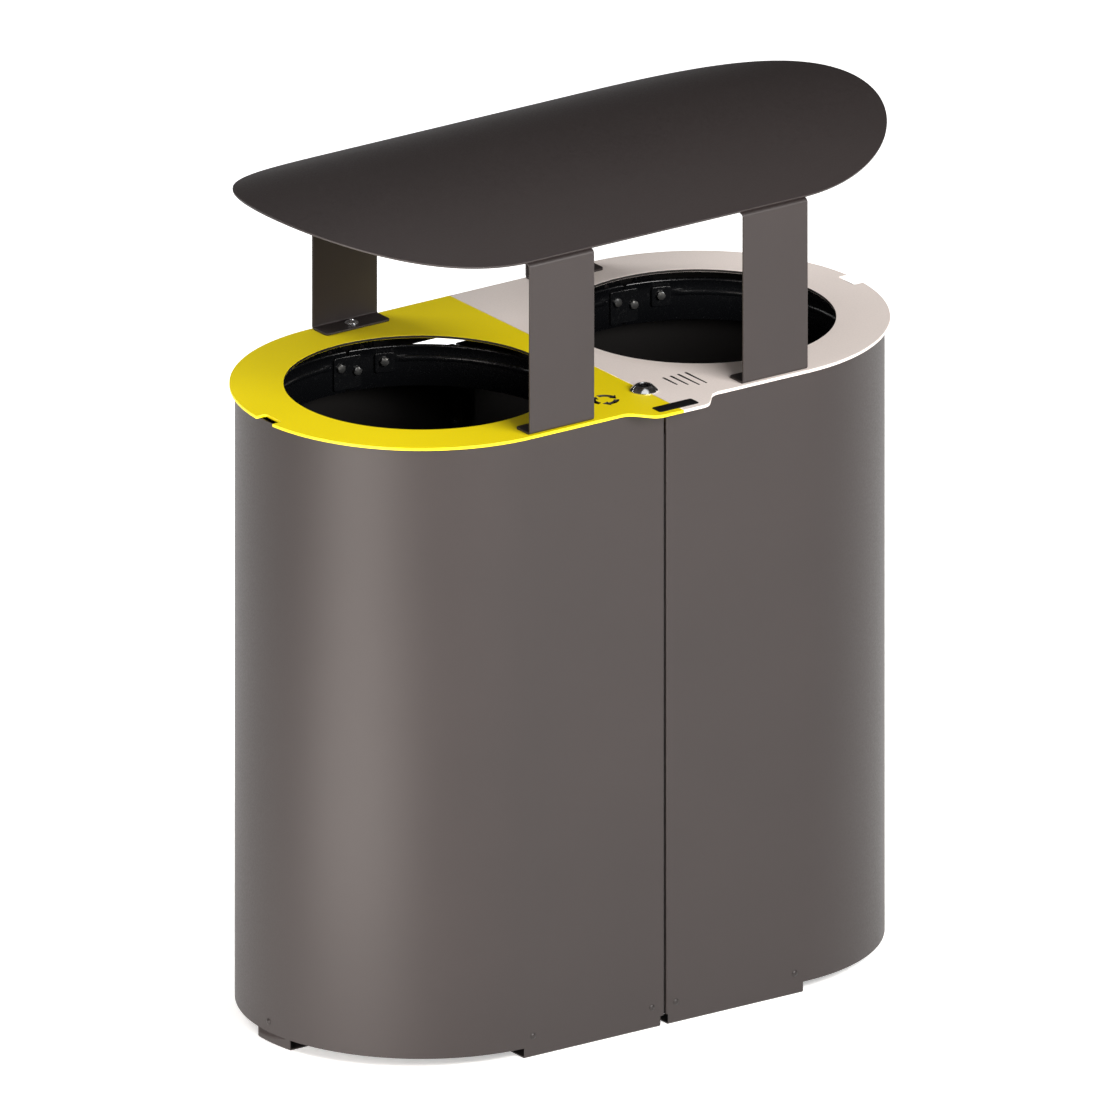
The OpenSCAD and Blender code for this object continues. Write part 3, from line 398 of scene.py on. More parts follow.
# Studs: x, y and lower end, from the plate's middle
STUDS = [(20, STRAP_Y * q, -11.0) for q in (-0.55, 0.1, 0.85)] + [(x, 217.5, -10.5) for x in (77, 113)]
ARROW_X = -61.0          # the left motif: three arrows that chase each other round a ring
ARROW_R = 15.0
ARROW_HALF, HEAD_HALF = 3.25, 6.5    # half the width of the band and of the arrow's head
ARROW_SWEEP, HEAD_TIP = 72, 105      # degrees from an arrow's tail to its head, and to its tip
RAY_X, RAY_STEP = 47, 11.5           # the right motif: four slots, round at the rear, that taper to the front
RAY_REAR, RAY_FRONT = (-163.5, 1.5), (-161.2, 0.8)   # place and radius of both ends; the front one less its length
RAY_LONG = 48
RAY_SHARES = (0.66, 0.83, 1.0, 1.0)


def lid_half():
    """Outline of the half on the side of positive x, from the front of the lip round to the rear of the joint."""
    turn = math.radians(LIP_TURN)
    corner = (LIP_HALF, LIP_OUT - LIP_R)
    slant = (LIP_OUT - LID_R - 2 * LIP_R * (1 - math.cos(turn))) / math.sin(turn)
    bend_x = corner[0] + LIP_R * math.sin(turn) + slant * math.cos(turn)
    bend_y = corner[1] + LIP_R * math.cos(turn) - slant * math.sin(turn)
    hollow = (bend_x + LIP_R * math.sin(turn), bend_y + LIP_R * math.cos(turn))
    bends = arc(*corner, LIP_R, 90, -LIP_TURN, 12) + arc(*hollow, LIP_R, 270 - LIP_TURN, LIP_TURN, 12)
    lip = [(x, -y) for x, y in bends]
    reach = math.degrees(math.asin((NOTCH_Y + NOTCH_R) / LID_R))
    notch = arc(NOTCH_X, -NOTCH_Y, NOTCH_R, 270, -90, 6) + arc(NOTCH_X, NOTCH_Y, NOTCH_R, 180, -90, 6)
    ends = arc(LID_X, 0, LID_R, -90, 90 - reach, 60) + notch + arc(LID_X, 0, LID_R, reach, 90 - reach, 60)
    lock = [(max(x, JOINT), y + LOCK_Y) for x, y in arc(0, 0, LOCK_HOLE, 90, -180, 24)]
    return [(JOINT, -LIP_OUT)] + lip + ends + [(JOINT, LID_R)] + lock


def turned(rows, sides):
    """Turns rows of (radius, height, flats, slope) round the z axis, in mm. Flats 1 makes a row a hexagon by its
    corner radius, and slope lowers its corners as a chamfer does. A radius of 0 is a pole."""
    made = bmesh.new()
    rings = []
    for r, z, flats, slope in rows:
        if r == 0:
            rings.append([made.verts.new((0, 0, z))])
            continue
        ring = []
        for i in range(sides):
            a = 2 * math.pi * i / sides
            flat = math.cos(math.pi / 6) / math.cos((a % (math.pi / 3)) - math.pi / 6)
            q = r * (flat if flats else 1)
            low = slope * (q - r * math.cos(math.pi / 6))
            ring.append(made.verts.new((q * math.cos(a), q * math.sin(a), z - low)))
        rings.append(ring)
    for a, b in zip(rings, rings[1:]):
        for i in range(sides):
            corners = [a[i % len(a)], b[i % len(b)], b[(i + 1) % len(b)], a[(i + 1) % len(a)]]
            made.faces.new([c for k, c in enumerate(corners) if c not in corners[:k]])
    bmesh.ops.recalc_face_normals(made, faces=made.faces)
    return made


def joined(*parts):
    """One mesh out of several, which are used up."""
    whole = bmesh.new()
    for part in parts:
        mesh = bpy.data.meshes.new("part")
        part.to_mesh(mesh)
        part.free()
        whole.from_mesh(mesh)
        bpy.data.meshes.remove(mesh)
    return whole


def lid(name, side, colour_of, motif):
    """One lid plate with its welded studs: side is 1 on the right and -1 on the left."""
    loops = [[(side * x, y) for x, y in lid_half()], hole(side * LID_X, 0, MOUTH_R, 180)] + motif
    studs = []
    top = 0.1 - LID_T / 2          # a little inside the plate, as a weld is
    for x, y, low in STUDS:
        stud = turned([(0, top, 0, 0), (STUD_R, top, 0, 0), (STUD_R, low + 0.5, 0, 0), (STUD_R - 0.5, low, 0, 0),
                       (0, low, 0, 0)], 20)
        bmesh.ops.translate(stud, verts=stud.verts, vec=(side * x, y, 0))
        studs.append(stud)
    sheet = joined(blank(name, loops, LID_T, LID_EASE), *studs)
    piece = formed(name, sheet, lambda x, y, z: ((x, y, LID_MID + z), (1, 0, 0), (0, 1, 0), (0, 0, 1)), colour_of)
    # Painted shade, in a dark brown finish: walls of the mouth, walls of the motif with their eased rims, and
    # everything under the plate
    piece.data.materials.append(painted_shade_cut)
    hulls = [[f(c[k] for c in loop) * MM for k in (0, 1) for f in (min, max)] for loop in motif]
    for face in piece.data.polygons:
        x, y, z = face.center
        mouth = math.hypot(x - side * LID_X * MM, y) < (MOUTH_R + 1) * MM
        cut = any(a - MM < x < b + MM and c - MM < y < d + MM for a, b, c, d in hulls)
        upright = abs(face.normal.z) < (0.3 if mouth else 0.98)
        if z < (LID_MID - LID_T / 2 - 0.2) * MM or upright and (mouth or cut):
            face.material_index = 1
    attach(piece, "lid")
    return piece


arrows = []
for k in range(3):
    tail = 90 - 120 * k
    head = tail - ARROW_SWEEP
    band = arc(0, 0, ARROW_R + ARROW_HALF, tail, -ARROW_SWEEP, 10)
    for r, a in ((ARROW_R + HEAD_HALF, head), (ARROW_R, tail - HEAD_TIP), (ARROW_R - HEAD_HALF, head)):
        band.append((r * math.cos(math.radians(a)), r * math.sin(math.radians(a))))
    band += arc(0, 0, ARROW_R - ARROW_HALF, head, ARROW_SWEEP, 10)
    arrows.append([(x + ARROW_X, y + LOCK_Y) for x, y in band])
rays = []
for i, share in enumerate(RAY_SHARES):
    x = RAY_X + RAY_STEP * i
    rays.append(arc(x, RAY_REAR[0], RAY_REAR[1], 0, 180, 8)
                + arc(x, RAY_FRONT[0] - RAY_LONG * share, RAY_FRONT[1], 180, 180, 6))
# Dark brown painted shade for the cut walls and the studs under the lids
painted_shade_cut = powder_coat("Painted shade in cuts", "#1C1815", 0.6, 0.10, 0.05)
yellow = powder_coat("Traffic yellow powder coat", "#EAD400", 0.45, 0.03, 0.02)
pale = powder_coat("Pale grey powder coat", "#E7DDD7", 0.45, 0.03, 0.02)
left = lid("left_lid_plate", -1, yellow, arrows)
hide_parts("left_lid")
right = lid("right_lid_plate", 1, pale, rays)
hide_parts("right_lid")

# NAMEPLATE. A small black anodised aluminium plate, left bare, bonded across the joint of the two lids on the lip.
# It is cut from brushed sheet with round corners.
PLATE_W, PLATE_D, PLATE_T = 61, 19.5, 1.0
PLATE_CORNER = 3
PLATE_Y = -257
PLATE_EASE = 0.25
made, tree, shader, at = finish("Black anodised plate", "#141518", 0.34, Metallic=0.6)
# Brushing along x draws the highlight out sideways. Its lines are 16 mm long, and 0.22 mm apart so that they show
brush = add(tree, "ShaderNodeMapping", {"Vector": at, "Scale": (every(16), every(0.22), every(16))})
lines = add(tree, "ShaderNodeTexNoise", {"Vector": brush.outputs[0], "Scale": 1.0, "Detail": 2.0})
grain = add(tree, "ShaderNodeBump", {"Strength": 0.2, "Distance": 0.03 * MM, "Height": lines.outputs["Fac"]})
tree.links.new(grain.outputs[0], shader.inputs["Normal"])
sheen = add(tree, "ShaderNodeMapRange", {"Value": lines.outputs["Fac"], "To Min": 0.28, "To Max": 0.4})
tree.links.new(sheen.outputs[0], shader.inputs["Roughness"])
anodised = made


def rounded(w, h, r, x, y):
    """Outline of a plate with round corners."""
    a, b = w / 2 - r, h / 2 - r
    corners = ((x + a, y - b, -90), (x + a, y + b, 0), (x - a, y + b, 90), (x - a, y - b, 180))
    return [point for cx, cy, start in corners for point in arc(cx, cy, r, start, 90, 6)]


def plate_fold(x, y, z):
    return (x, y, LID_TOP + PLATE_T / 2 + z), (1, 0, 0), (0, 1, 0), (0, 0, 1)


sheet = blank("nameplate_blank", [rounded(PLATE_W, PLATE_D, PLATE_CORNER, 0, PLATE_Y)], PLATE_T, PLATE_EASE)
plate = formed("nameplate_blank", sheet, plate_fold, anodised)
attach(plate, "lid")
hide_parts("nameplate")

# LOCK. A cylinder lock on the joint of the lids: a turned brass housing with a chromed cone-shaped rosette, screwed
# tight from below, and a steel core with a triangular peg in a round socket that turns the cam under the lids.
HOUSING = (
    # radius and height, up the outside and down the bore
    (8.05, 815), (10.6, 815), (11, 815.4), (11, 844.9), (17.4, 845), (18, 845.3), (18, 846.1), (17.7, 846.6),
    (11.6, 852.1), (11.1, 852.45), (10.7, 852.5), (9.6, 852.5), (9.3, 852.2), (9.25, 848.8), (8.05, 848.8),
    (8.05, 815))


def piece_of(name, made, finish_used, sharp=32, place=(0, 0, 0)):
    """Makes a piece of a mesh in mm, smooth but for edges sharper than the given angle."""
    made.normal_update()
    for f in made.faces:
        f.smooth = True
    for e in made.edges:
        e.smooth = len(e.link_faces) == 2 and e.calc_face_angle(0) < math.radians(sharp)
    for v in made.verts:
        v.co = (v.co + Vector(place)) * MM
    mesh = bpy.data.meshes.new(name)
    made.to_mesh(mesh)
    made.free()
    mesh.materials.append(finish_used)
    piece = bpy.data.objects.new(name, mesh)
    bpy.context.scene.collection.objects.link(piece)
    return piece


made, tree, shader, at = finish("Polished chrome plating", "#E4E6E8", 0.14, Metallic=1.0)
# Turning marks under the plating soften the reflections a little: faint rings, 0.7 mm apart so that they show.
# A wave texture repeats ten times in pi units, hence the factor
rings = add(tree, "ShaderNodeMapping", {"Vector": at, "Location": (0.0, -LOCK_Y * MM, 0.0)})
marks = add(tree, "ShaderNodeTexWave",
            {"Vector": rings.outputs[0], "Scale": math.pi / 10 * every(0.7), "Distortion": 0.4},
            wave_type="RINGS", rings_direction="Z")
cut = add(tree, "ShaderNodeBump", {"Strength": 0.12, "Distance": 0.02 * MM, "Height": marks.outputs["Fac"]})
tree.links.new(cut.outputs[0], shader.inputs["Normal"])
haze = add(tree, "ShaderNodeTexNoise", {"Vector": at, "Scale": every(8), "Detail": 3.0})
haze = add(tree, "ShaderNodeMapRange", {"Value": haze.outputs["Fac"], "To Min": 0.1, "To Max": 0.2})
tree.links.new(haze.outputs[0], shader.inputs["Roughness"])
chrome = made
housing = turned([(r, z, 0, 0) for r, z in HOUSING], 72)
bmesh.ops.remove_doubles(housing, verts=housing.verts, dist=0.001)
bmesh.ops.recalc_face_normals(housing, faces=housing.faces)
housing = piece_of("lock_housing_turned", housing, chrome, 26, (0, LOCK_Y, 0))
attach(housing, "lid")
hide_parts("lock_housing")

# BAG RINGS. Each bag hangs in a band of 2 mm steel rolled to a ring, with a pressed bead for the elastic strap and
# a rolled top edge. Its ends meet at the rear, where the band stays flat under clamp plates that take the bolts.
# Ring and plates are dipped in black enamel.
RING_IN, RING_OUT = 197.0, 199.0
RING_LOW = 769.0
BEAD_Z = 806.5
BEAD_BAND = 6.0          # the band is plain outside this height from the bead
BEAD_R = 5.0             # inner side of the bead's arc
BEAD_AT = 199.5          # its centre
BEAD_HALF = (4.33, 2.958)    # half the bead's height on its inner and outer side
CURL_AT, CURL_Z, CURL_R = 198.0, 822.8, 2.2
ENDS_AT = 22.0           # where the ends meet, from the rear towards positive x
ENDS_GAP = 0.72          # half their gap, in degrees
FLAT_FROM, FLAT_TO = 85, -3      # the band has no bead here, from the rear
FADE = 3                 # degrees over which the bead comes up
CLAMPS = ((20, 40, 774, 818), (70, 24, 790, 816))    # middle from the rear, width, lower and upper edge
CLAMP_T = 3.0
CLAMP_CORNER = 3
CLAMP_EASE = 0.5
CLAMP_R = 195.4          # middle radius to which they are bent
made, tree, shader, at = finish("Black enamelled steel", "#0B0C0E", 0.3, **{"Specular IOR Level": 0.5})
# Dipped enamel: long soft waves of 12 mm in the film, so the highlights along the bead waver
wave = add(tree, "ShaderNodeTexNoise", {"Vector": at, "Scale": every(12), "Detail": 2.0})
film = add(tree, "ShaderNodeBump", {"Strength": 0.06, "Distance": 0.3 * MM, "Height": wave.outputs["Fac"]})
tree.links.new(film.outputs[0], shader.inputs["Normal"])
# Rubbed by bags: scuffs of about 4 mm where the enamel is dulled
scuff = add(tree, "ShaderNodeTexNoise", {"Vector": at, "Scale": every(4), "Detail": 5.0, "Roughness": 0.7})
worn = add(tree, "ShaderNodeMapRange",
           {"Value": scuff.outputs["Fac"], "From Min": 0.55, "From Max": 0.75, "To Min": 0.26, "To Max": 0.5})
tree.links.new(worn.outputs[0], shader.inputs["Roughness"])
enamel = made


def ring_rows(b):
    """Cross-section of the band as (radius, height), closed, with its bead pressed to the share b of its depth."""
    low, high = BEAD_Z - BEAD_BAND, BEAD_Z + BEAD_BAND
    inner = [BEAD_HALF[0] * (i / 6 - 1) for i in range(13)]
    outer = [BEAD_HALF[1] * (i / 5 - 1) for i in range(11)]
    rows = [(RING_IN + 0.4, RING_LOW), (RING_IN, RING_LOW + 0.5), (RING_IN, low)]
    rows += [(RING_IN - b * (math.sqrt(BEAD_R ** 2 - d * d) - (BEAD_AT - RING_IN)), BEAD_Z + d) for d in inner]
    rows += [(RING_IN, high)]
    for a in range(240, -61, -25):
        rows.append((CURL_AT + CURL_R * math.cos(math.radians(a)), CURL_Z + CURL_R * math.sin(math.radians(a))))
    rows += [(RING_OUT, high)]
    rows += [(RING_OUT - b * (math.sqrt((BEAD_R - SHEET) ** 2 - d * d) - (BEAD_AT - RING_OUT)), BEAD_Z - d)
             for d in outer]
    return rows + [(RING_OUT, low), (RING_OUT, RING_LOW + 0.5), (RING_OUT - 0.4, RING_LOW)]


def bag_ring(name, side):
    """One bag ring, rolled from its open end right round to the other."""
    made = bmesh.new()
    split = 90 - math.degrees(math.asin(ENDS_AT / RING_IN))
    bare = [90 - math.degrees(math.asin(offset / RING_IN)) for offset in (FLAT_FROM, FLAT_TO)]
    steps = 200
    rings = []
    for i in range(steps + 1):
        a = split + ENDS_GAP + (360 - 2 * ENDS_GAP) * i / steps
        near = min(bare[0] + 360 - a, a - bare[1])
        b = min(1, max(0, near / FADE))
        b = b * b * (3 - 2 * b)
        c, s = math.cos(math.radians(a)), math.sin(math.radians(a))
        rings.append([made.verts.new((side * LID_X + r * c, r * s, z)) for r, z in ring_rows(b)])
    for p, q in zip(rings, rings[1:]):
        for k in range(len(p)):
            made.faces.new((p[k], q[k], q[(k + 1) % len(p)], p[(k + 1) % len(p)]))
    made.faces.new(rings[0])
    made.faces.new(rings[-1])
    bmesh.ops.recalc_face_normals(made, faces=made.faces)
    piece = piece_of(name + "_rolled", made, enamel, 50)
    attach(piece, "body")
    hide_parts(name)


bag_ring("left_bag_ring", -1)
bag_ring("right_bag_ring", 1)

bent = []
for side in (-1, 1):
    for offset, width, low, high in CLAMPS:
        r = CLAMP_R
        a, b = r * math.asin((offset - width / 2) / r), r * math.asin((offset + width / 2) / r)
        outline = rounded(b - a, high - low, CLAMP_CORNER, (a + b) / 2, (low + high) / 2)
        sheet = blank("clamp", [outline], CLAMP_T, CLAMP_EASE)
        score(sheet, 0, [a + (b - a) * i / 8 for i in range(1, 8)])
        for v in sheet.verts:
            q = v.co.x / r
            v.co = ((r - v.co.z) * math.sin(q) + side * LID_X, (r - v.co.z) * math.cos(q), v.co.y)
        bent.append(sheet)
clamps = piece_of("ring_clamp_plates_bent", joined(*bent), enamel, 40)
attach(clamps, "body")
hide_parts("ring_clamp_plates")

# SCREWS, BOLTS AND RIVETS. Bought fasteners, set out by Geometry Nodes: stainless button-head screws on washers
# through the stanchions' feet, zinc-plated hexagon bolts with nuts through ring and bracket, and blind rivets in the
# body, touched up in a darker shade of its paint that is painted shade round their rims.
SCREW_Y = 225.0
CLAMP_FACE = RING_IN - 3.2       # the ring bolts' heads sit on the clamp plates
RING_BOLTS = ((10, 804.0), (34, 797.0), (70, 805.0))     # from the rear towards positive x, and height
DOME_R = 8.125                   # radius of the button head's dome: 14 mm across and 4 mm high
RIVET_R, RIVET_H = 4.5, 1.8
SHELL_RIVETS = ((-208, -1), (-23, -1), (-199, 1), (-14, 1))      # x and side of the left shell's rivets
RIVET_Z = 28
HINGE_X, HINGE_APART, HINGE_Z = 95, 18, 812.5
BRACKETS = ((20, 796, 44), (70, 803, 26))                # from the rear, middle and height of the ring brackets
BRACKET_IN = 7.5                 # rivets from a bracket's upper and lower edge


def set_out(name, master, places, finish_used, seed):
    """Geometry Nodes put a copy of the master on each place, along its way and turned at random about it."""
    tree = bpy.data.node_groups.new("Set out " + name, "GeometryNodeTree")
    ins = {}
    for title, kind in (("Places", "NodeSocketGeometry"), ("Fastener", "NodeSocketObject"),
                        ("Most turn", "NodeSocketFloat"), ("Seed", "NodeSocketInt"),
                        ("Finish", "NodeSocketMaterial")):
        ins[title] = tree.interface.new_socket(title, in_out="INPUT", socket_type=kind).identifier
    tree.interface.new_socket("Fasteners", in_out="OUTPUT", socket_type="NodeSocketGeometry")
    given = add(tree, "NodeGroupInput").outputs
    way = add(tree, "GeometryNodeInputNamedAttribute", {"Name": "way"}, data_type="FLOAT_VECTOR")
    one = add(tree, "GeometryNodeObjectInfo", {"Object": given["Fastener"]})
    along = add(tree, "FunctionNodeAlignRotationToVector", {"Vector": way.outputs["Attribute"]}, axis="Z")
    chance = add(tree, "FunctionNodeRandomValue", {"Max": given["Most turn"], "Seed": given["Seed"]},
                 data_type="FLOAT")
    spin = add(tree, "FunctionNodeAxisAngleToRotation", {"Axis": (0, 0, 1), "Angle": chance.outputs[1]})
    turn = add(tree, "FunctionNodeRotateRotation", {"Rotation": along.outputs[0], "Rotate By": spin.outputs[0]},
               rotation_space="LOCAL")
    copies = add(tree, "GeometryNodeInstanceOnPoints",
                 {"Points": given["Places"], "Instance": one.outputs["Geometry"], "Rotation": turn.outputs[0]})
    real = add(tree, "GeometryNodeRealizeInstances", {"Geometry": copies.outputs[0]})
    coated = add(tree, "GeometryNodeSetMaterial", {"Geometry": real.outputs[0], "Material": given["Finish"]})
    add(tree, "NodeGroupOutput", {0: coated.outputs[0]})
    points = bpy.data.meshes.new(name)
    points.from_pydata([Vector(p) * MM for p, _ in places], [], [])
    ways = points.attributes.new("way", "FLOAT_VECTOR", "POINT")
    ways.data.foreach_set("vector", [c for _, w in places for c in w])
    holder = bpy.data.objects.new(name, points)
    bpy.context.scene.collection.objects.link(holder)
    put = holder.modifiers.new("Set out", "NODES")
    put.node_group = tree
    put[ins["Fastener"]] = master
    put[ins["Most turn"]] = math.pi / 3
    put[ins["Seed"]] = seed
    put[ins["Finish"]] = finish_used
    mesh = bpy.data.meshes.new_from_object(holder.evaluated_get(bpy.context.evaluated_depsgraph_get()))
    holder.modifiers.clear()
    holder.data = mesh
    mesh.name = name
    bpy.data.objects.remove(master)
    return holder


made, tree, shader, at = finish("Bright stainless steel", "#DFE1E3", 0.24, Metallic=1.0)
# Tumbled stainless: tiny dents 0.8 mm across under a clear highlight
dent = add(tree, "ShaderNodeTexNoise", {"Vector": at, "Scale": every(0.8), "Detail": 2.0})
press = add(tree, "ShaderNodeBump", {"Strength": 0.15, "Distance": 0.03 * MM, "Height": dent.outputs["Fac"]})
tree.links.new(press.outputs[0], shader.inputs["Normal"])
wipe = add(tree, "ShaderNodeMapRange", {"Value": dent.outputs["Fac"], "To Min": 0.16, "To Max": 0.32})
tree.links.new(wipe.outputs[0], shader.inputs["Roughness"])
stainless = made
made, tree, shader, at = finish("Zinc plating", "#A0A1A3", 0.34, Metallic=1.0)
# Passivated zinc: a bluish and a yellowish cast in patches of 4 mm, and uneven dullness
patch = add(tree, "ShaderNodeTexNoise", {"Vector": at, "Scale": every(4), "Detail": 4.0, "Roughness": 0.6})
cast = add(tree, "ShaderNodeValToRGB", {"Fac": patch.outputs["Fac"]})
cast.color_ramp.elements[0].color = rgb("#8D9298")
cast.color_ramp.elements[1].color = rgb("#B0ADA4")
tree.links.new(cast.outputs[0], shader.inputs["Base Color"])
dim = add(tree, "ShaderNodeMapRange", {"Value": patch.outputs["Fac"], "To Min": 0.26, "To Max": 0.42})
tree.links.new(dim.outputs[0], shader.inputs["Roughness"])
zinc = made

dome = [(DOME_R * math.sin(math.radians(a)), 5.5 - DOME_R + DOME_R * math.cos(math.radians(a)), 0, 0)
        for a in range(27, 60, 6)]
head = turned([(0, 2.6, 0, 0), (2.9, 3.0, 1, 0), (2.9, 4.9, 1, 0), (3.35, 5.15, 0, 0)] + dome
              + [(6.95, 1.9, 0, 0), (6.8, 1.5, 0, 0), (0, 1.5, 0, 0)], 36)
washer = turned([(0, 0, 0, 0), (8.7, 0, 0, 0), (9, 0.3, 0, 0), (9, 1.2, 0, 0), (8.7, 1.5, 0, 0), (0, 1.5, 0, 0)], 36)
shank = turned([(0, 0.2, 0, 0), (4, 0.2, 0, 0), (4, -15.1, 0, 0), (3.5, -15.5, 0, 0), (0, -15.5, 0, 0)], 24)
button = piece_of("button_head", joined(head, washer, shank), stainless)
places = [((sx * POST_X, sy * SCREW_Y, LID_TOP + POST_T), (0, 0, 1)) for sx in (-1, 1) for sy in (-1, 1)]
screws = set_out("foot_screws_button_head", button, places, stainless, 3)
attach(screws, "lid")
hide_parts("foot_screws")

bolt_head = turned([(0, 4, 0, 0), (4.6, 4, 0, 0), (5.8, 3.95, 1, 0.5), (5.8, 0.3, 1, 0), (5.6, 0, 1, 0),
                    (0, 0, 0, 0)], 36)
bolt_shank = turned([(0, 0.2, 0, 0), (3, 0.2, 0, 0), (3, -13.9, 0, 0), (2.5, -14.4, 0, 0), (0, -14.4, 0, 0)], 24)
bolt_nut = turned([(0, -8.4, 0, 0), (5.0, -8.4, 0, 0), (5.8, -8.5, 1, 0), (5.8, -12.3, 1, 0), (5.0, -12.4, 0, 0),
                   (0, -12.4, 0, 0)], 36)
hexagon = piece_of("hexagon_bolt", joined(bolt_head, bolt_shank, bolt_nut), zinc)
places = []
for side in (-1, 1):
    for offset, z in RING_BOLTS:
        a = math.asin(offset / RING_IN)
        place = (side * LID_X + CLAMP_FACE * math.sin(a), CLAMP_FACE * math.cos(a), z)
        places.append((place, (-math.sin(a), -math.cos(a), 0)))
bolts = set_out("ring_bolts_hexagon", hexagon, places, zinc, 5)
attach(bolts, "body")
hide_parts("ring_bolts")


def rivet(grip):
    """A blind rivet with its head on z = 0, pulled tight through the grip, with the small dimple of its mandrel."""
    ball = (RIVET_R ** 2 + RIVET_H ** 2) / (2 * RIVET_H)
    rows = [(0, 1.45, 0, 0), (0.9, 1.5, 0, 0), (1.25, 1.73, 0, 0)]
    for r in (2.0, 2.8, 3.5, 4.1):
        rows.append((r, RIVET_H - ball + math.sqrt(ball ** 2 - r * r), 0, 0))
    rows += [(RIVET_R, 0.25, 0, 0), (4.4, 0, 0, 0), (2, 0, 0, 0), (2, -grip, 0, 0), (3.3, -grip - 0.1, 0, 0),
             (3.4, -grip - 1.5, 0, 0), (0, -grip - 1.8, 0, 0)]
    return turned(rows, 28)


def on_wall(x, side, z):
    """A place on the shell's outer face with the way it faces."""
    a = math.copysign(math.asin(max(0, abs(x) - SHELL_X) / SHELL_R), x)
    return (x, side * SHELL_R * math.cos(a), z), (math.sin(a), side * math.cos(a), 0)


# The right shell is the left one turned half round, and so are its rivets
shell_places = []
for turn in (1, -1):
    for x, side in SHELL_RIVETS:
        shell_places.append(on_wall(turn * x, turn * side, RIVET_Z))
    shell_places.append(((-turn * (SHELL_X + SHELL_R), 0, RIVET_Z), (-turn, 0, 0)))
hinge_places = [on_wall(s * HINGE_X + d * HINGE_APART, 1, HINGE_Z) for s in (-1, 1) for d in (-1, 1)]
bracket_places = [on_wall(s * SHELL_X + x, 1, z + d * (h / 2 - BRACKET_IN))
                  for s in (-1, 1) for x, z, h in BRACKETS for d in (-1, 1)]
# Darker than the body's coat: painted shade for the dark outline round each rivet's rim
rivet_painted_shade = powder_coat("Rivet paint with painted shade", "#1D1716", 0.42, 0.10, 0.05)
for node, grip, places, seed in (("shell_rivets", 4.3, shell_places, 7), ("hinge_rivets", 4.5, hinge_places, 8),
                                 ("bracket_rivets", 5.05, bracket_places, 9)):
    one = piece_of("rivet", rivet(grip), rivet_painted_shade)
    rivets = set_out(node + "_domed", one, places, rivet_painted_shade, seed)
    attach(rivets, "body")
    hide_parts(node)

# PARTS KEPT FROM THE CAD. Flat bars, folded brackets, hinge leaves, straps, nuts, and the lock's core, cam and screw,
# inside and behind the body: their shape is right as it is, so they only get the finish of the real part.
made, tree, shader, at = finish("Black painted inner steel", "#131211", 0.6, **{"Specular IOR Level": 0.25})
# Brushed-on paint that has gathered dust: lighter patches some 30 mm across, over a grit drawn at 1.1 mm to show
dust = add(tree, "ShaderNodeTexNoise", {"Vector": at, "Scale": every(30), "Detail": 6.0, "Roughness": 0.62})
film = add(tree, "ShaderNodeValToRGB", {"Fac": dust.outputs["Fac"]})
film.color_ramp.elements[0].position = 0.42
film.color_ramp.elements[0].color = rgb("#0E0D0D")
film.color_ramp.elements[1].position = 0.72
film.color_ramp.elements[1].color = rgb("#211F1D")
tree.links.new(film.outputs[0], shader.inputs["Base Color"])
grit = add(tree, "ShaderNodeTexNoise", {"Vector": at, "Scale": every(1.1), "Detail": 2.0})
tooth = add(tree, "ShaderNodeBump", {"Strength": 0.3, "Distance": 0.1 * MM, "Height": grit.outputs["Fac"]})
tree.links.new(tooth.outputs[0], shader.inputs["Normal"])
inner = made
made, tree, shader, at = finish("Black elastic cord", "#161617", 0.8, **{"Sheen Weight": 0.3, "Sheen Roughness": 0.5})
# Braided sleeve over rubber: a small weave of 1.2 mm that breaks the round cord's highlight
weave = add(tree, "ShaderNodeTexVoronoi", {"Vector": at, "Scale": every(1.2)}, feature="SMOOTH_F1")
braid = add(tree, "ShaderNodeBump", {"Strength": 0.6, "Distance": 0.3 * MM, "Height": weave.outputs["Distance"]})
tree.links.new(braid.outputs[0], shader.inputs["Normal"])
thread = add(tree, "ShaderNodeMapRange", {"Value": weave.outputs["Distance"], "To Min": 0.7, "To Max": 0.95})
tree.links.new(thread.outputs[0], shader.inputs["Roughness"])
elastic = made
made, tree, shader, at = finish("Dark lock steel", "#4A4B4E", 0.32, Metallic=1.0)
# Oily machined steel: cloudy patches of 3 mm between dull and shiny
cloud = add(tree, "ShaderNodeTexNoise", {"Vector": at, "Scale": every(3), "Detail": 4.0})
dull = add(tree, "ShaderNodeMapRange", {"Value": cloud.outputs["Fac"], "To Min": 0.22, "To Max": 0.45})
tree.links.new(dull.outputs[0], shader.inputs["Roughness"])
lock_steel = made
KEPT = (
    (inner, ("base_pan", "front_seam_bar", "rear_seam_bar", "body_hinge_leaves", "lid_strap", "lid_hinge_leaves")),
    (zinc, ("seam_bolts", "keeper", "keeper_bolt", "strap_nuts", "foot_nuts", "canopy_studs", "canopy_nuts",
            "lock_nut", "hinge_nuts", "cam_screw")),
    (elastic, ("left_bag_strap", "right_bag_strap")),
    (enamel, ("ring_brackets",)),
    (stainless, ("hinge_pins",)),
    (lock_steel, ("lock_core", "lock_cam")),
)
for used, nodes in KEPT:
    for node in nodes:
        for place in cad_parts[node].material_slots:
            place.material = used

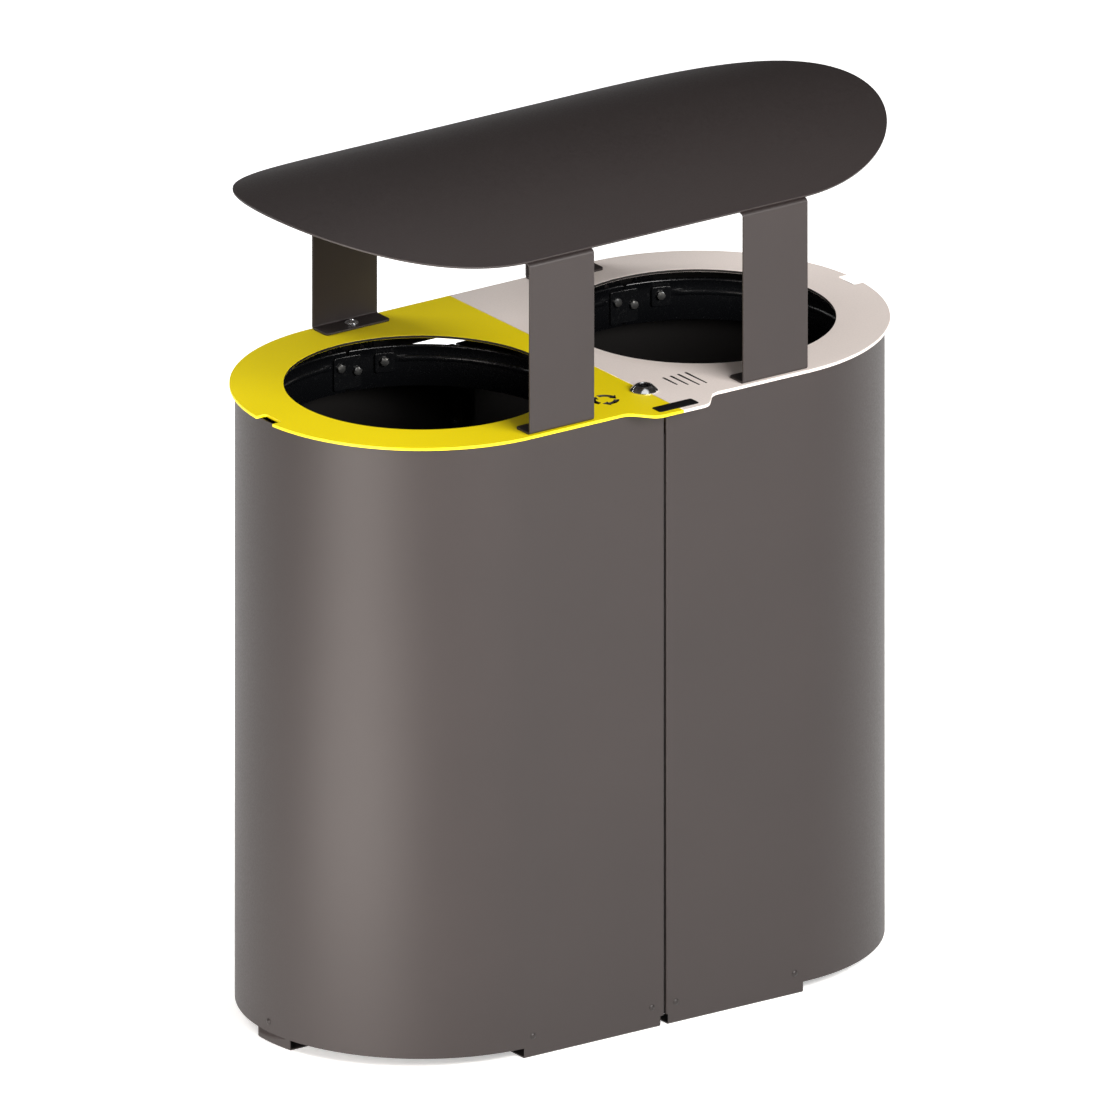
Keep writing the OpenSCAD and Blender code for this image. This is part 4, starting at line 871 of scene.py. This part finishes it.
# STUDIO. A plain white floor that glows towards the back like a light table, a large soft light in front, a soft box
# and a low card at the left whose reflection runs down the round end, a narrow box at the right, softer lights
# behind and above, and a dim warm room, seen by a camera without perspective from the front left.
FLOOR = 14                       # half the floor, in metres like everything below
GLOW = (0.42, 1.0)               # strength of the glow in front and behind
GLOW_FROM, GLOW_TO = -0.5, 1.6   # where it begins and ends to grow, away from the camera
AWAY = (0.574, 0.819, 0)
AIM = (0, 0, 0.6)                # the lights point here
LIGHTS = (
    # name, azimuth and elevation as seen from the object, distance, width, height, watts, colour
    ("key", 4, 28, 3.6, 2.6, 1.2, 212, "#FFFCFA"),
    ("left_box", -73, 2, 2.6, 1.6, 1.3, 55, "#FFF6F0"),
    ("left_card", -73, -24.5, 1.3, 1.1, 0.08, 3.6, "#FFF6F0"),
    ("right_strip", 84, 8, 2.8, 0.7, 1.6, 6, "#FFF6F0"),
    ("rear_fill", -150, 40, 3.6, 2.0, 1.4, 56, "#FFFFFF"),
    ("back_light", 135, 64, 4.0, 2.4, 1.8, 13, "#FFFFFF"),
    ("top_card", -35, 66, 3.0, 3.2, 1.2, 11, "#FFFFFF"),
)
ROOM = (1.0, 0.98, 0.96, 1)
ROOM_STRENGTH = 0.03
VIEW_WIDTH = 1.42675             # what the picture shows from side to side
VIEW_ACROSS, VIEW_UP, VIEW_BACK = 0.0003, 0.5255, 4   # the camera's place along its own axes
made, tree, shader, at = finish("White studio floor", "#F4F4F2", 0.9, **{"Emission Color": (1, 1, 1, 1)})
# Paper floor: a barely visible mottling of 60 mm
paper = add(tree, "ShaderNodeTexNoise", {"Vector": at, "Scale": every(60), "Detail": 3.0})
mottle = add(tree, "ShaderNodeMapRange", {"Value": paper.outputs["Fac"], "To Min": 0.85, "To Max": 0.95})
tree.links.new(mottle.outputs[0], shader.inputs["Roughness"])
# The far half glows, so that it stays white behind the object and leaves the front faces dark
spot = add(tree, "ShaderNodeVectorMath", {0: at, 1: AWAY}, operation="DOT_PRODUCT")
glow = add(tree, "ShaderNodeMapRange",
           {"Value": spot.outputs["Value"], "From Min": GLOW_FROM, "From Max": GLOW_TO, "To Min": GLOW[0],
            "To Max": GLOW[1]}, interpolation_type="SMOOTHSTEP")
tree.links.new(glow.outputs[0], shader.inputs["Emission Strength"])
ground = bpy.data.meshes.new("studio_floor")
ground.from_pydata([(x * FLOOR, y * FLOOR, 0) for x, y in ((-1, -1), (1, -1), (1, 1), (-1, 1))], [], [(0, 1, 2, 3)])
ground.materials.append(made)
ground = bpy.data.objects.new("studio_floor", ground)
bpy.context.scene.collection.objects.link(ground)

for name, azimuth, elevation, distance, width, height, watts, tint in LIGHTS:
    lamp = bpy.data.lights.new(name, "AREA")
    lamp.shape = "RECTANGLE"
    lamp.size, lamp.size_y = width, height
    lamp.energy = watts
    lamp.color = rgb(tint)[:3]
    a, e = math.radians(azimuth), math.radians(elevation)
    way = Vector((math.sin(a) * math.cos(e), -math.cos(a) * math.cos(e), math.sin(e)))
    holder = bpy.data.objects.new(name, lamp)
    holder.location = Vector(AIM) + way * distance
    holder.rotation_euler = way.to_track_quat("Z", "Y").to_euler()
    bpy.context.scene.collection.objects.link(holder)

room = bpy.data.worlds.new("Dim room")
room.use_nodes = True
room.node_tree.nodes["Background"].inputs["Color"].default_value = ROOM
room.node_tree.nodes["Background"].inputs["Strength"].default_value = ROOM_STRENGTH
bpy.context.scene.world = room
bpy.context.scene.view_settings.view_transform = "Standard"

camera = bpy.data.cameras.new("camera")
camera.type = "ORTHO"
camera.ortho_scale = VIEW_WIDTH
camera.clip_end = 3 * FLOOR
view = bpy.data.objects.new("camera", camera)
across = Vector((0.81915, -0.57358, 0))
up = Vector((0.19617, 0.28017, 0.93969))
ahead = Vector((0.53898, 0.76975, -0.34202))
view.location = VIEW_ACROSS * across + VIEW_UP * up - VIEW_BACK * ahead
view.rotation_mode = "QUATERNION"
view.rotation_quaternion = (-ahead).to_track_quat("Z", "Y")
bpy.context.scene.collection.objects.link(view)
bpy.context.scene.camera = view
